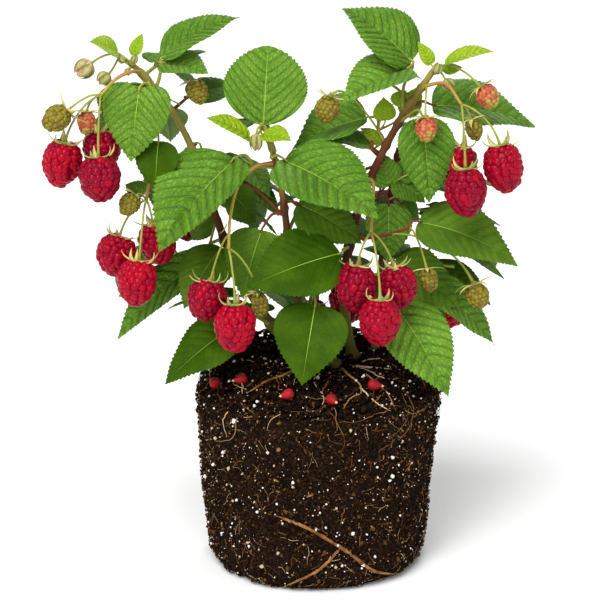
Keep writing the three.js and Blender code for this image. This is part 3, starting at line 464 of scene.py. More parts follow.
def pedicel_curve(one, item):
    start = stem_curve(one).point(item["start"])
    f = fruit_frame(item)
    run = np.linalg.norm(f["top"] - start)
    rise = start + 0.35 * (f["top"] - start) + 0.22 * run * UP
    return Cubic(start, rise, f["top"] - 0.38 * run * f["axis"], f["top"] + 2.5 * f["axis"])


# ---- shoots that grow by rule ----


def heading(degrees):
    angle = math.radians(degrees)
    return np.array([math.cos(angle), math.sin(angle), 0.0])


def between(random, limits):
    return limits[0] + (limits[1] - limits[0]) * random()


def spheres(points, radius):
    return np.c_[points, np.full(len(points), float(radius))]


def leaf_room(item):
    q, v = np.meshgrid([0.1, 0.26, 0.42, 0.58, 0.74, 0.9], [-0.9, -0.45, 0, 0.45, 0.9], indexing="ij")
    return spheres(blade_points(item, q.ravel(), v.ravel()), LEAF_ROOM)


def fruit_room(item):
    points = [item["top"] + s * (item["tip"] - item["top"]) for s in (0.3, 0.7)]
    return spheres(points, item["wide"] / 2 + 0.5)


def curve_room(curve, radius, count):
    return spheres(curve.at(np.arange(1, count + 1) / count), radius)


def shoot_room(one):
    room = [curve_room(stem_curve(one), TWIG_ROOM, 10)]
    for item in one["leaves"]:
        room += [leaf_room(item), curve_room(stalk_curve(one, item), TWIG_ROOM, 4)]
    for item in one["fruit"]:
        room += [fruit_room(item), curve_room(pedicel_curve(one, item), TWIG_ROOM, 5)]
    return np.vstack(room)


def clear_of(room, taken):
    apart = np.linalg.norm(room[:, None, :3] - taken[None, :, :3], axis=2)
    return bool((apart > room[:, None, 3] + taken[None, :, 3]).all())


def inside_space(room, limits):
    points = room[:, :3]
    inside = np.linalg.norm((points - limits["middle"]) / limits["radii"], axis=1) < 1
    above = points[:, 2] > BALL["crown_height"] + SOIL_ROOM
    beside = np.hypot(points[:, 0], points[:, 1]) > BALL["rim_radius"] + RIM_ROOM
    return bool((inside & (above | beside)).all())


def compound_leaf(random, hub, degrees):
    """An end leaflet and two side leaflets round one hub."""
    length = between(random, LEAFLET_LENGTH)
    droop = between(random, DROOP)
    leaflets = []
    for turn in (0, SIDE_TURN, -SIDE_TURN):
        out = heading(degrees + turn + LEAFLET_SWAY * (random() - 0.5))
        long = length * (1 if turn == 0 else SIDE_LEAFLET)
        fall = 1 / math.hypot(1, droop)
        base = hub + out * (END_STALK if turn == 0 else SIDE_STALK)
        tip = base + out * long * fall - UP * long * fall * droop
        leaflets.append(leaf(base, tip, long * LEAFLET_WIDTH, course=[hub], facing=UP + LEAFLET_LEAN * out))
    return leaflets


def grow_fruit(random, limits, one, taken):
    end = stem_curve(one).point(1)
    for k in range(limits["fruit_count"]):
        turn = (k - (limits["fruit_count"] - 1) / 2) * FRUIT_TURN + FRUIT_SWAY * (random() - 0.5)
        out = heading(limits["heading"] + turn)
        top = end + FRUIT_REACH * out - UP * between(random, FRUIT_DROP)
        item = fruit(top, top + FRUIT_LEAN * out - RIPE_LONG * UP, RIPE_WIDE)
        room = fruit_room(item)
        if clear_of(room, taken) and inside_space(room, limits):
            one["fruit"].append(item)


def draw_leaf(random, limits, one, k, full):
    """One draw of a leaf at place k of the stem, and the leaflets that fit."""
    last = k == limits["nodes"]
    side = 1 if random() < 0.5 else -1
    turn = limits["heading"] + (END_SWAY * (random() - 0.5) if last else side * between(random, LEAF_TURN))
    start = stem_curve(one).point(1 if last else LEAVES_FROM + LEAVES_RUN * k / limits["nodes"])
    lift = between(random, STALK_LIFT)
    hub = start + heading(turn) * between(random, STALK_LENGTH) + UP * lift
    bend = start + 0.5 * (hub - start) + STALK_BOW * UP
    stalk = spheres([start + share * (hub - start) for share in (0.6, 0.8, 1)], 1)
    leaflets = []
    for item in compound_leaf(random, hub, turn):
        room = leaf_room(item)
        if inside_space(room, limits) and clear_of(np.vstack([room, stalk]), full):
            leaflets.append(item)
    return {"course": [start, bend], "leaflets": leaflets}


def grow_leaves(random, limits, one, taken):
    full = np.vstack([taken, shoot_room(one)])
    for k in range(limits["nodes"] + 1):
        best = {"leaflets": []}
        for _ in range(TRIES):
            drawn = draw_leaf(random, limits, one, k, full)
            if len(drawn["leaflets"]) > len(best["leaflets"]):
                best = drawn
        if best["leaflets"]:
            best["leaflets"][0]["course"] = [*best["course"], *best["leaflets"][0]["course"]]
            one["leaves"] += best["leaflets"]
            full = np.vstack([full, *map(leaf_room, best["leaflets"])])


def bare_shoot(limits):
    start = CANE_CURVES[limits["cane"]].point(limits["at"])
    out = heading(limits["heading"])
    stem = [
        start + run * limits["reach"] * out + rise * limits["rise"] * UP
        for run, rise in ((0.4, 0.7), (0.75, 1), (1, 0.85))
    ]
    return shoot(limits["name"], limits["at"], stem, [], [], cane=limits["cane"])


def taken_room():
    room = [shoot_room(one) for one in PLACED]
    room += [curve_room(curve, CANE_ROOM, 40) for curve in CANE_CURVES.values()]
    room += [curve_room(stem_curve(bare_shoot(limits)), TWIG_ROOM, 16) for limits in GROWN]
    return np.vstack(room)


def grown_shoots():
    taken = taken_room()
    shoots = []
    for limits in GROWN:
        random = seeded(limits["seed"])
        one = bare_shoot(limits)
        grow_fruit(random, limits, one, taken)
        grow_leaves(random, limits, one, taken)
        shoots.append(one)
        taken = np.vstack([taken, shoot_room(one)])
    return shoots


# ---- joined meshes ----

LOWEST = 0.1  # no loose grain lies lower


def add_item(name, data, place=(0, 0, 0), turn=(0, 0, 0)):
    """An object in the scene, at a place and turned, both as Blender gives them."""
    item = bpy.data.objects.new(name, data)
    item.location, item.rotation_euler = place, turn
    bpy.context.scene.collection.objects.link(item)
    return item


def around(angle, side, second):
    """Directions at angles between two cross directions."""
    return np.cos(angle)[..., None] * side + np.sin(angle)[..., None] * second


def ring_angles(count):
    return 2 * np.pi * np.arange(count) / count


def ring_faces(rings, sides):
    """Quads between rings of points, and the triangles that close both ends."""
    i, j = np.meshgrid(np.arange(rings - 1), np.arange(sides), indexing="ij")
    a, b = (i * sides + j).ravel(), (i * sides + (j + 1) % sides).ravel()
    quads = np.stack([a, b, b + sides, a + sides], axis=1)
    ring, after = np.arange(sides), (np.arange(sides) + 1) % sides
    foot, tip, last = rings * sides, rings * sides + 1, (rings - 1) * sides
    low = np.stack([np.full(sides, foot), after, ring], axis=1)
    high = np.stack([np.full(sides, tip), last + ring, last + after], axis=1)
    return quads, np.vstack([low, high])


class Pile:
    """Small shapes of one kind, gathered into one mesh."""

    def __init__(self):
        self.points, self.count = [], 0
        self.faces, self.slots, self.maps = ({3: [], 4: []} for _ in range(3))

    def add_points(self, points):
        self.points.append(np.asarray(points, float).reshape(-1, 3))
        self.count += len(self.points[-1])

    def add_faces(self, faces, slot=0, maps=None):
        """Faces of 3 or 4 corners of the points that are added next, with four map values a corner."""
        width = faces.shape[1]
        self.faces[width].append(faces + self.count)
        self.slots[width].append(np.broadcast_to(slot, len(faces)))
        if maps is not None:
            self.maps[width].append(maps)

    def add_shell(self, rings, ends, slot=0):
        """A closed shape round rings of points, with a point in the middle of each end."""
        for faces in ring_faces(*rings.shape[:2]):
            self.add_faces(faces, slot)
        self.add_points(np.vstack([rings.reshape(-1, 3), *ends]))

    def build(self, name, materials, sharp=None):
        """The mesh object. sharp names the points whose shared edges stay crisp."""
        widths = [w for w in (4, 3) if self.faces[w]]
        faces = [np.vstack(self.faces[w]) for w in widths]
        loops = np.concatenate([part.ravel() for part in faces])
        sizes = np.repeat(widths, [len(part) for part in faces])
        slots = np.concatenate([slot for w in widths for slot in self.slots[w]])
        mesh = bpy.data.meshes.new(name)
        mesh.vertices.add(self.count)
        mesh.vertices.foreach_set("co", (np.vstack(self.points) * MM).ravel())
        mesh.loops.add(len(loops))
        mesh.loops.foreach_set("vertex_index", loops)
        mesh.polygons.add(len(sizes))
        mesh.polygons.foreach_set("loop_start", np.r_[0, np.cumsum(sizes)[:-1]])
        mesh.polygons.foreach_set("material_index", slots)
        mesh.polygons.foreach_set("use_smooth", np.ones(len(sizes), bool))
        for material in materials:
            mesh.materials.append(material)
        if self.maps[widths[0]]:
            maps = np.concatenate([np.concatenate(self.maps[w]).reshape(-1, 4) for w in widths])
            for layer, columns in (("OFBake", maps[:, :2]), ("Grain", maps[:, 2:])):
                mesh.uv_layers.new(name=layer).data.foreach_set("uv", columns.ravel())
        mesh.update(calc_edges=True)
        if sharp is not None:
            ends = np.empty(2 * len(mesh.edges), int)
            mesh.edges.foreach_get("vertices", ends)
            crisp = sharp[ends.reshape(-1, 2)].all(axis=1)
            mesh.attributes.new("sharp_edge", "BOOLEAN", "EDGE").data.foreach_set("value", crisp)
        mesh.validate()
        return add_item(name, mesh)


def dressed(pile, name, materials, nodes=(), sharp=None):
    """The pile's piece, riding on the plant and standing for the named nodes."""
    piece = pile.build(name, materials, sharp)
    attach(piece, "root")
    if nodes:
        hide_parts(*nodes)


def carried_frames(points):
    """Two cross directions along a line that turn as little as they can."""
    tangents = unit(np.gradient(points, axis=0))
    start = np.cross(tangents[0], UP if abs(tangents[0][2]) < 0.9 else (1, 0, 0))
    across = [unit(start)]
    for tangent in tangents[1:]:
        across.append(unit(across[-1] - tangent * across[-1].dot(tangent)))
    return np.array(across), np.cross(tangents, across)


def swept(points, reach):
    """Rings round a line. reach (rings, sides) holds how far each point is from it."""
    across, second = carried_frames(points)
    out = around(ring_angles(reach.shape[1]), across[:, None], second[:, None])
    return points[:, None] + reach[..., None] * out


def tube(pile, points, radii, sides=8, slot=0):
    """A closed tube along points."""
    points = np.asarray(points, float)
    reach = np.repeat(np.broadcast_to(radii, len(points))[:, None], sides, axis=1)
    pile.add_shell(swept(points, reach), points[[0, -1]], slot)


def ball_template(sides, tilts):
    """A unit ball of rings at the given tilts from its pole, with both poles."""
    tilt, angle = np.meshgrid(tilts, ring_angles(sides), indexing="ij")
    rings = np.stack([np.sin(tilt) * np.cos(angle), np.sin(tilt) * np.sin(angle), np.cos(tilt)], axis=-1)
    quads, caps = ring_faces(len(tilts), sides)
    return np.vstack([rings.reshape(-1, 3), UP, -0.6 * UP]), quads[:, ::-1], caps[:, ::-1]


def strew(pile, template, sizes, centres, frames, slots):
    """One ball at every centre. sizes (n, points or 1, 3) scales it, and frames (n, 3, 3) holds its axes."""
    points, *faces = template
    placed = centres[:, None] + np.einsum("npk,nkj->npj", points * sizes, frames)
    placed[..., 2] = np.maximum(placed[..., 2], LOWEST)
    step = len(points) * np.arange(len(centres))[:, None, None]
    for part in faces:
        pile.add_faces((part + step).reshape(-1, part.shape[1]), np.repeat(slots, len(part)))
    pile.add_points(placed)


def frames_on(normals, dice):
    """Axes that stand on normals, each turned at random."""
    across = unit(np.cross(normals, dice.normal(size=normals.shape)))
    return np.stack([across, np.cross(normals, across), normals], axis=1)


# ---- leaves ----

TOOTH_BASE = 1.8  # run of margin under one tooth
TOOTH_PEAK = 0.62  # place of a tooth's point along its base
VEIN_SLANT = 0.6  # forward run of a side vein for its run outwards
VEIN_ARCH = 0.9  # how much more it turns towards the tip near the margin
VEINS = ((50, 9), (38, 8), (14, 7), (0, 4))  # side veins of a blade longer than this
COLUMNS = np.array([0, 0.014, 0.13, 0.27, 0.42, 0.57, 0.72, 0.85, 0.94, 1])
LEAF_TONES = ["deep", "mid", "fresh", "young", "shade"]
DRAWN_TONES = ["deep", "mid", "mid", "fresh"]  # those dealt out at the back
UNDER, VEIN, YOUNG_VEIN = 5, 6, 7  # material places after the tones

# Shares of the blade's length.
TOOTH = 0.0135  # depth of a tooth
QUILT = 0.032  # height of the swellings between side veins
RIPPLE = 0.012  # height of the waves near the margin
TWIST = 0.018  # rise of one margin and fall of the other
HANG = (0.01, 0.05)  # how far the margins hang
RIB = 0.016  # half the width of the midrib
RIB_HEIGHT = 0.015  # how far it stands out below
GROOVE = 0.006  # depth of its groove above


def leaf_grid(length):
    """Rows from base to tip, columns from margin to margin, and the rows that end in a tooth."""
    teeth = max(10, round(length / TOOTH_BASE))
    tooth = np.arange(teeth)
    q = np.sort(np.r_[tooth / teeth, (tooth + TOOTH_PEAK) / teeth])[1:]
    return q, np.r_[-COLUMNS[:0:-1], COLUMNS], np.arange(1, len(q) + 1) % 2 == 1


def blade_form(item, f, q, v, peak, veins, dice):
    """The upper face, the lower one within the margins, and each point's way from the midrib and
    place among the side veins."""
    length = f["length"]
    q2, v2 = np.meshgrid(q, v, indexing="ij")
    s = np.abs(v2)
    x, y = blade_plan(item, length, q2, v2)
    half = np.abs(blade_plan(item, length, q, np.ones(len(q)))[1])[:, None]
    ease = np.clip(np.sin(np.pi * q) * 3, 0, 1)[:, None]
    tooth = TOOTH * length * np.where(peak, 1, -0.25)[:, None] * ease
    tooth = tooth * (0.8 + 0.4 * dice.random((len(q), 1))) * (item["wide"] / length / LEAFLET_WIDTH) ** 0.5
    margin = np.clip((s - 0.8) / 0.2, 0, 1) ** 2
    x, y = x + 0.7 * tooth * margin, y + np.sign(v2) * tooth * margin * 0.9
    z = blade_rise(item, length, np.clip(x, 0, length), y)
    wave = dice.uniform(-1, 1, 4)
    z = z + RIPPLE * length * s**2 * np.sin(2 * np.pi * (q2 * (2 + wave[0]) + wave[1]) + np.sign(v2))
    z = z - dice.uniform(*HANG) * s**3.5 * 2 * half / LEAFLET_WIDTH
    z = z + wave[2] * TWIST * length * np.sin(np.pi * x / length) * y / half.max()
    place = veins * (x - VEIN_SLANT * np.abs(y) - VEIN_ARCH * y**2 / length) / length + 1
    swell = np.sin(np.pi * (place % 1)) ** 0.75 * np.minimum(1, s / 0.2) * np.minimum(1, (1.1 - s) / 0.3)
    relief = length * item["quilt"] * ease
    rib = np.exp(-((y / (RIB * length)) ** 2)) * (1 - 0.7 * x / length)
    z = z + QUILT * relief * (swell - 0.45)
    upper = place_on(f, x, y, z - GROOVE * relief * rib)
    lower = place_on(f, x, y, z - (0.2 + RIB_HEIGHT * length * rib) * np.minimum(1, 4 * ease))
    return upper, lower[:, 1:-1], np.stack([s * half, place], axis=-1)


def blade_faces(rows, cols):
    """The columns of its quads, the upper and lower quads, the fans at its ends and their two poles."""
    inner = cols - 2
    poles = rows * (cols + inner) + np.arange(2)

    def under(row, k):
        """Index of the k-th point of the underside's row; its ends are the margins."""
        inside = rows * cols + row * inner + (k - 1)
        return np.where(k == 0, row * cols, np.where(k == inner + 1, row * cols + cols - 1, inside))

    r, k = (grid.ravel() for grid in np.meshgrid(np.arange(rows - 1), np.arange(cols - 1), indexing="ij"))
    a = r * cols + k
    upper = np.stack([a, a + 1, a + 1 + cols, a + cols], axis=1)
    lower = np.stack([under(r, k), under(r + 1, k), under(r + 1, k + 1), under(r, k + 1)], axis=1)
    ends, j = [], np.arange(cols - 1)
    for pole, row, way in ((poles[0], 0, 1), (poles[1], rows - 1, -1)):
        for near, far in ((row * cols + j + 1, row * cols + j), (under(row, j), under(row, j + 1))):
            ends.append(np.stack([np.full(cols - 1, pole), near, far], axis=1)[:, ::way])
    return k, upper, lower, np.vstack(ends), poles


def blade_maps(q, v, grain, veins, cell, atlas):
    """Each point's place on the OFBake sheet, of which a blade has one cell, and its grain."""
    column, row = cell % atlas, cell // atlas
    down, across = np.meshgrid(q, (v + 1) / 2, indexing="ij")
    sheet = np.stack([column + 0.02 + 0.46 * across, row + 0.03 + 0.94 * down], axis=-1) / atlas
    upper = np.concatenate([sheet, grain], axis=-1)
    ends = [((column + 0.25) / atlas, (row + share) / atlas, 0, place)
            for share, place in ((0.03, 1), (0.97, 1 + veins))]
    return np.vstack([upper.reshape(-1, 4), upper[:, 1:-1].reshape(-1, 4), ends])


def blade(pile, rims, item, cell, atlas, dice):
    """A blade with toothed margins, sunken veins above and ribs below."""
    f = leaf_frame(item)
    q, v, peak = leaf_grid(f["length"])
    rows, cols = len(q), len(v)
    veins = next(count for length, count in VEINS if f["length"] > length)
    upper, lower, grain = blade_form(item, f, q, v, peak, veins, dice)
    maps = blade_maps(q, v, grain, veins, cell, atlas)
    column, upper_quads, lower_quads, ends, poles = blade_faces(rows, cols)
    tone = LEAF_TONES.index(item["tone"])
    on_rib = np.abs(column - cols // 2 + 0.5) < 1
    slots = np.where(on_rib, YOUNG_VEIN if item["tone"] == "young" else VEIN, tone)
    pile.add_faces(upper_quads, slots, maps[upper_quads])
    pile.add_faces(lower_quads, UNDER, maps[lower_quads] + [0.5 / atlas, 0, 0, 0])
    pile.add_faces(ends, np.tile(np.repeat([tone, UNDER], cols - 1), 2), maps[ends])
    base, tip = f["base"], f["base"] + f["length"] * f["axis"]
    pile.add_points(np.vstack([upper.reshape(-1, 3), lower.reshape(-1, 3), base, tip]))
    rim, left = np.zeros(len(maps), bool), np.arange(rows) * cols
    rim[np.r_[left, left + cols - 1, poles]] = True
    rims.append(rim)


def build_leaves(name, shoots, dice):
    """The blades of some shoots as one piece."""
    pile, rims = Pile(), []
    items = [item for one in shoots for item in one["leaves"]]
    atlas = math.ceil(math.sqrt(len(items)))
    for cell, item in enumerate(items):
        drawn = dice.choice(DRAWN_TONES)
        item["tone"] = item["tone"] or drawn
        blade(pile, rims, item, cell, atlas, dice)
    dressed(pile, name, LEAF_MATERIALS, [one["name"] for one in shoots], np.concatenate(rims))


# ---- fruit ----

# Pitch, radius, height and shape of the drupelets.
DRUPELET = {
    "ripe": (4.4, 2.8, 2.15, ball_template(9, [0.4, 0.8, 1.2, 1.6])),
    "green": (2.7, 1.65, 1.25, ball_template(7, [0.5, 1.0, 1.5])),
}
# Material places: of the drupelets, of the last ones to turn at the tip, and of the core.
FRUIT_TONES = {"ripe": [0, 1, 2], "olive": [3, 3, 3, 4], "coral": [5, 5, 6]}
LATE = 7
CORE = {"ripe": 2, "olive": 4, "coral": 6, "bud": 8, "bloom": 9, "green_bud": 10}
BUD_TONES = ["bud", "bloom", "green_bud"]
SEPALS = 5
SEPAL_LONG = (11, 15)
SEPAL_WIDE = 4.8
SEPAL_OUTLINE = np.array([0.7, 0.95, 1, 0.92, 0.76, 0.58, 0.4, 0.22, 0.06])
STRAW, GREEN_SEPAL, DISC, CLASPING = range(4)  # material places of the calyces

# Small closed buds round the crowns: where the stalk starts, the bud's two ends and its width.
BUDS = [
    ((-110, -3, 309), (-113.5, -7, 313), (-117, -8, 316), 4.6),
    ((-110, -3, 309), (-109, -7, 312), (-107, -8, 317), 4.2),
    ((-110, -3, 309), (-111.5, -8, 309), (-112.5, -10.5, 305.5), 4),
    ((70, -4, 306), (70, -8, 306), (72.5, -9.5, 312.5), 6),
]


def fruit_radius(wide, s):
    return wide / 2 * np.sin(np.pi * s**0.84) ** 0.47


def drupelets(pile, item, kind, tones, dice):
    """Rows of round drupelets over the fruit, each row set between the last."""
    pitch, across, high, template = DRUPELET[kind]
    f = fruit_frame(item)
    length = f["length"] - high
    s = np.linspace(0.05, 0.985, 200)
    radius = fruit_radius(item["wide"] - 2.25 * high, s)
    rise = np.gradient(radius, s * length)
    travelled = np.r_[0, np.cumsum(np.hypot(np.diff(radius), np.diff(s) * length))]
    rows = max(3, round(travelled[-1] / (pitch * 0.84)))
    centres, normals, places = [], [], []
    for k in range(rows + 1):
        i = min(len(s) - 1, int(np.searchsorted(travelled, travelled[-1] * (k + 0.15) / (rows + 0.15))))
        count = max(1, round(2 * np.pi * radius[i] / pitch))
        angle = 2 * np.pi * (np.arange(count) + 0.5 * (k % 2)) / count + dice.normal(0, 0.09, count)
        out = around(angle, f["side"], f["second"])
        depth = s[i] * length + dice.normal(0, 0.25, (count, 1))
        centres.append(f["top"] + depth * f["axis"] + radius[i] * out)
        normals.append(unit(out - rise[i] * f["axis"]))
        places += [s[i]] * count
    sizes = dice.normal(1, 0.09, (len(places), 1, 1)) * np.array([across, across, high])
    slots = dice.choice(tones, len(places))
    if item["tone"] == "coral":
        slots = np.where(places + dice.normal(0, 0.13, len(slots)) > 0.66, LATE, slots)
    strew(pile, template, sizes, np.vstack(centres), frames_on(np.vstack(normals), dice), slots)


def core(pile, item, inset, slot):
    """The smooth body inside the drupelets, or of a closed bud."""
    f = fruit_frame(item)
    share = np.sin(np.linspace(0.1, np.pi / 2 - 0.1, 9)) ** 2
    line = f["top"] + share[:, None] * (f["length"] - inset) * f["axis"]
    tube(pile, line, fruit_radius(item["wide"] - 2 * inset, share), 14, slot)


def sepal(pile, start, out, up, length, width, curl, slot, dice):
    """A long pointed sepal that leaves sideways and curls towards `up`."""
    steps = len(SEPAL_OUTLINE)
    angle = curl * np.linspace(0, 1, steps) ** 1.3 + dice.normal(0, 0.1)
    way = around(angle, out, up)
    points = start + np.vstack([np.zeros(3), np.cumsum(way[:-1] * length / (steps - 1), axis=0)])
    side = unit(np.cross(up, out)) * (width / 2 * SEPAL_OUTLINE)[:, None]
    lift = unit(np.cross(way, unit(np.cross(up, out)))) * (0.12 + 0.08 * width * SEPAL_OUTLINE)[:, None]
    pile.add_shell(np.stack([points + side, points + lift, points - side, points - lift], axis=1),
                   points[[0, -1]], slot)


def clasp(pile, item, dice):
    """Closed sepals that lie on a bud, with a slit between each two."""
    f = fruit_frame(item)
    share = np.linspace(0.03, 1, 8)
    radius = fruit_radius(item["wide"], share * 0.96) + 0.15
    centres = f["top"] + share[:, None] * f["length"] * 1.08 * f["axis"]
    spread = 0.66 * (1 - share**2.6) + 0.05
    turn = dice.uniform(0, 2 * math.pi)
    for k in range(SEPALS):
        middle = turn + 2 * math.pi * k / SEPALS
        rings = [
            centres + around(middle + shift * spread, f["side"], f["second"]) * (radius * swell)[:, None]
            for shift, swell in ((-1, 1.02), (0, 1.1), (1, 1.02), (0, 0.9))
        ]
        pile.add_shell(np.stack(rings, axis=1), centres[[0, -1]], CLASPING)


def calyx(pile, item, dice):
    """Sepals round the top of a fruit, and the disc that they stand on."""
    if item["tone"] in BUD_TONES:
        clasp(pile, item, dice)
        return
    f = fruit_frame(item)
    ripe = item["wide"] > RIPE_FROM
    size = 1 if ripe else 0.45 + item["wide"] / 32
    curls = (0.9, 2.4) if ripe else (-1.2, -0.3) if item["wide"] < 16 else (-0.5, 0.9)
    turn = dice.uniform(0, 2 * math.pi)
    for k in range(SEPALS):
        angle = turn + 2 * math.pi * k / SEPALS + dice.normal(0, 0.15)
        out = around(angle, f["side"], f["second"])
        curl = dice.uniform(*curls)
        lean = unit(out + (0.1 if ripe else -0.15) * f["axis"])
        start = f["top"] + out * 1.2 * size - f["axis"] * 0.3
        long = dice.uniform(*SEPAL_LONG) * size
        slot = dice.choice([STRAW, STRAW, GREEN_SEPAL])
        sepal(pile, start, lean, -f["axis"], long, SEPAL_WIDE * size, curl, slot, dice)
    disc = np.array([-0.9, -0.4, 0.3, 1.1])
    tube(pile, f["top"] + disc[:, None] * size * f["axis"], np.array([1.1, 2.3, 3.2, 2.6]) * size, 10, DISC)


def build_fruit(name, shoots, dice, buds=()):
    pile = Pile()
    for _, top, tip, wide in buds:
        core(pile, fruit(top, tip, wide), 0, CORE["green_bud"])
    for item in (item for one in shoots for item in one["fruit"]):
        tone, ripe = item["tone"], item["wide"] > RIPE_FROM
        kind = "ripe" if ripe else "green"
        if tone in BUD_TONES:
            core(pile, item, 0, CORE[tone])
            continue
        core(pile, item, DRUPELET[kind][2] * 0.75, CORE[tone])
        main = [dice.choice(FRUIT_TONES[tone])] * (9 if ripe else 2)
        drupelets(pile, item, kind, main + FRUIT_TONES[tone], dice)
    dressed(pile, name, FRUIT_MATERIALS)


# ---- stems, stalks and sepals ----

STEM_TONES = {"green": 0, "ochre": 1, "red": 2}
BRISTLE = 3  # material place after the tones

# Short stubs on the canes: their course and thickness.
STUBS = [
    ([(37, 0, 256), (33, -3, 260), (33, -5, 265)], 1.9),
    ([(-22, -8, 244), (-25, -10, 250), (-26, -11, 256)], 1.5),
    ([(30, 4, 246), (36, 0, 249), (41, -2, 249)], 1.0),
]
# Small pointed leaves at the foot of stalks: both ends and the width.
STIPULES = [
    ((-94, -14, 270), (-95, -12, 284), 5),
    ((-82, 2, 286), (-90, -2, 294), 5),
    ((-53, -40, 222), (-59, -42, 217), 3.5),
    ((57, -7, 305), (63, -10, 302), 5),
    ((-25, -10, 256), (-22, -14, 262), 4),
    ((49, 8, 238), (66, 4, 242), 8),
    ((44, 12, 225), (52, 10, 229), 6),
    ((-38, -12, 252), (-45, -16, 262), 4),
    ((32, -36, 216), (37, -40, 212), 3),
]


def stalk_points(one, item):
    """The leaf stalk's line, which runs on under the midrib of its blade."""
    f = leaf_frame(item)
    under = f["base"] + f["axis"] * 2.5 - f["face"] * 0.5
    return np.vstack([stalk_curve(one, item).at(np.linspace(0, 1, 12)), under])


def prickles(pile, line, radius, count, slot, dice):
    """Short fine bristles on a stem."""
    across, second = carried_frames(line)
    for _ in range(count):
        i = int(dice.integers(1, len(line) - 2))
        out = around(dice.uniform(0, 2 * math.pi), across[i], second[i])
        start = line[i] + (line[i + 1] - line[i]) * dice.random() + out * radius * 0.8
        bristle = [start, start + out * 0.55, start + out * dice.uniform(0.8, 1.2)]
        tube(pile, bristle, [0.2, 0.12, 0.03], 3, slot)


def build_twigs(name, shoots, dice):
    pile = Pile()
    share = np.linspace(0, 1, 24)
    knuckle = 0.35 * np.exp(-(((share - 1) / 0.03) ** 2)) + 0.5 * np.exp(-((share / 0.08) ** 2))
    fruit_stalk = np.linspace(0.68, 0.58, 16) + 0.6 * np.linspace(0, 1, 16) ** 8
    for one in shoots:
        slot = STEM_TONES[one["tone"]]
        stem = stem_curve(one).at(share)
        tube(pile, stem, STEM_RADIUS * (1.05 - 0.3 * share) + knuckle, 9, slot)
        for item in one["leaves"]:
            line = stalk_points(one, item)
            small = min(1, 0.45 + leaf_frame(item)["length"] / 60)
            tube(pile, line, small * STALK_RADIUS * np.linspace(1.15, 0.75, len(line)), 7, slot)
        for item in one["fruit"]:
            line = pedicel_curve(one, item).at(np.linspace(0, 0.93, 16))
            tube(pile, line, fruit_stalk, 7, STEM_TONES["green"])
            prickles(pile, line, 0.6, 6, BRISTLE, dice)
        prickles(pile, stem, 1.1, 10, BRISTLE, dice)
    for line, thick in STUBS:
        tube(pile, line, [thick, thick * 0.8, thick * 0.6], 8, STEM_TONES["red"])
    for start, top, _, _ in BUDS:
        tube(pile, [start, (vec(start) + vec(top)) / 2, top], [0.8, 0.65, 0.9], 7, STEM_TONES["green"])
    dressed(pile, name, TWIG_MATERIALS)


def build_calyces(name, shoots, dice):
    pile = Pile()
    for one in shoots:
        for item in one["fruit"]:
            calyx(pile, item, dice)
    for _, top, tip, wide in BUDS:
        clasp(pile, fruit(top, tip, wide), dice)
    for start, tip, wide in STIPULES:
        run = vec(tip) - vec(start)
        out, up = unit(run), unit(np.cross(run, (0.2, -1, 0.3)))
        sepal(pile, vec(start), unit(out - 0.35 * up), up, np.linalg.norm(run), wide, 0.7, GREEN_SEPAL, dice)
    dressed(pile, name, CALYX_MATERIALS)


# ---- canes ----

CANE_SIDES, CANE_STEPS = 22, 170


def cane_mesh(name, shoots, dice):
    """A cane with rings, long ridges and a swollen node under each shoot."""
    curve, cane = CANE_CURVES[name], CANES[name]
    share = np.linspace(0, 1, CANE_STEPS)
    points = curve.at(share)
    radius = cane["foot"] + (cane["tip"] - cane["foot"]) * share
    radius = radius + CANE_FLARE * np.clip(1 - share * curve.length / CANE_FLARE_HEIGHT, 0, 1) ** 2
    for one in shoots:
        if one["cane"] == name and one["at"] < 1:
            radius = radius + 0.75 * np.exp(-(((share - one["at"]) * curve.length / 2.2) ** 2))
    angle = ring_angles(CANE_SIDES)
    relief = np.array([
        [noise.noise(Vector((3 * math.cos(a) + 9 * len(name), 3 * math.sin(a), z * 0.11))) for a in angle]
        for z in share * curve.length
    ])
    fine = dice.normal(0, 0.03, relief.shape) + 0.05 * np.sin(7 * angle)
    rings = swept(points, radius[:, None] * (1 + 0.09 * relief + fine))
    rings[0, :, 2] = points[0][2]
    pile = Pile()
    pile.add_shell(rings, points[[0, -1]])
    prickles(pile, points[4:-4], np.mean(radius) * 0.95, 60, 0, dice)
    dressed(pile, f"bark_{name}", [bark_paint(name)], [f"cane_{name}"])


# ---- the root ball ----

MOUND = 11  # height of the heaped soil behind the canes
MOUND_BACK = 42  # its place behind the middle
MOUND_RUN = 30  # how far it spreads forward and back
SOIL_RINGS, SOIL_SIDES = 160, 400
SOIL_RELIEF = 1.35  # height of the crumbs
GRAIN_BALL = ball_template(5, [0.7, 1.9])
STEP = 2.2  # length of one step of a wandering root


def ball_profile():
    """Radius and height from the foot of the ball up to the middle of its top."""
    b = BALL
    foot, rim, crown = b["foot_radius"], b["rim_radius"], b["crown_radius"]
    return np.array([
        (foot - b["foot_edge"], 0),
        (foot - b["foot_edge"] * 0.3, b["foot_edge"] * 0.3),
        (foot + b["foot_edge"] * 0.1, b["foot_edge"]),
        (foot + (rim - foot) * 0.35, b["rim_height"] * 0.35),
        (foot + (rim - foot) * 0.7, b["rim_height"] * 0.68),
        (rim, b["rim_height"] - b["rim_edge"]),
        (rim - b["rim_edge"] * 0.3, b["rim_height"] - b["rim_edge"] * 0.3),
        (rim - b["rim_edge"], b["rim_height"]),
        ((rim + crown) / 2, b["rim_height"] + (b["crown_height"] - b["rim_height"]) * 0.55),
        (crown, b["crown_height"]),
        (0, b["crown_height"]),
    ])


SOIL_PROFILE = ball_profile()
SOIL_TRAVEL = np.r_[0, np.cumsum(np.linalg.norm(np.diff(SOIL_PROFILE, axis=0), axis=1))]
RIM_TRAVEL = SOIL_TRAVEL[6]


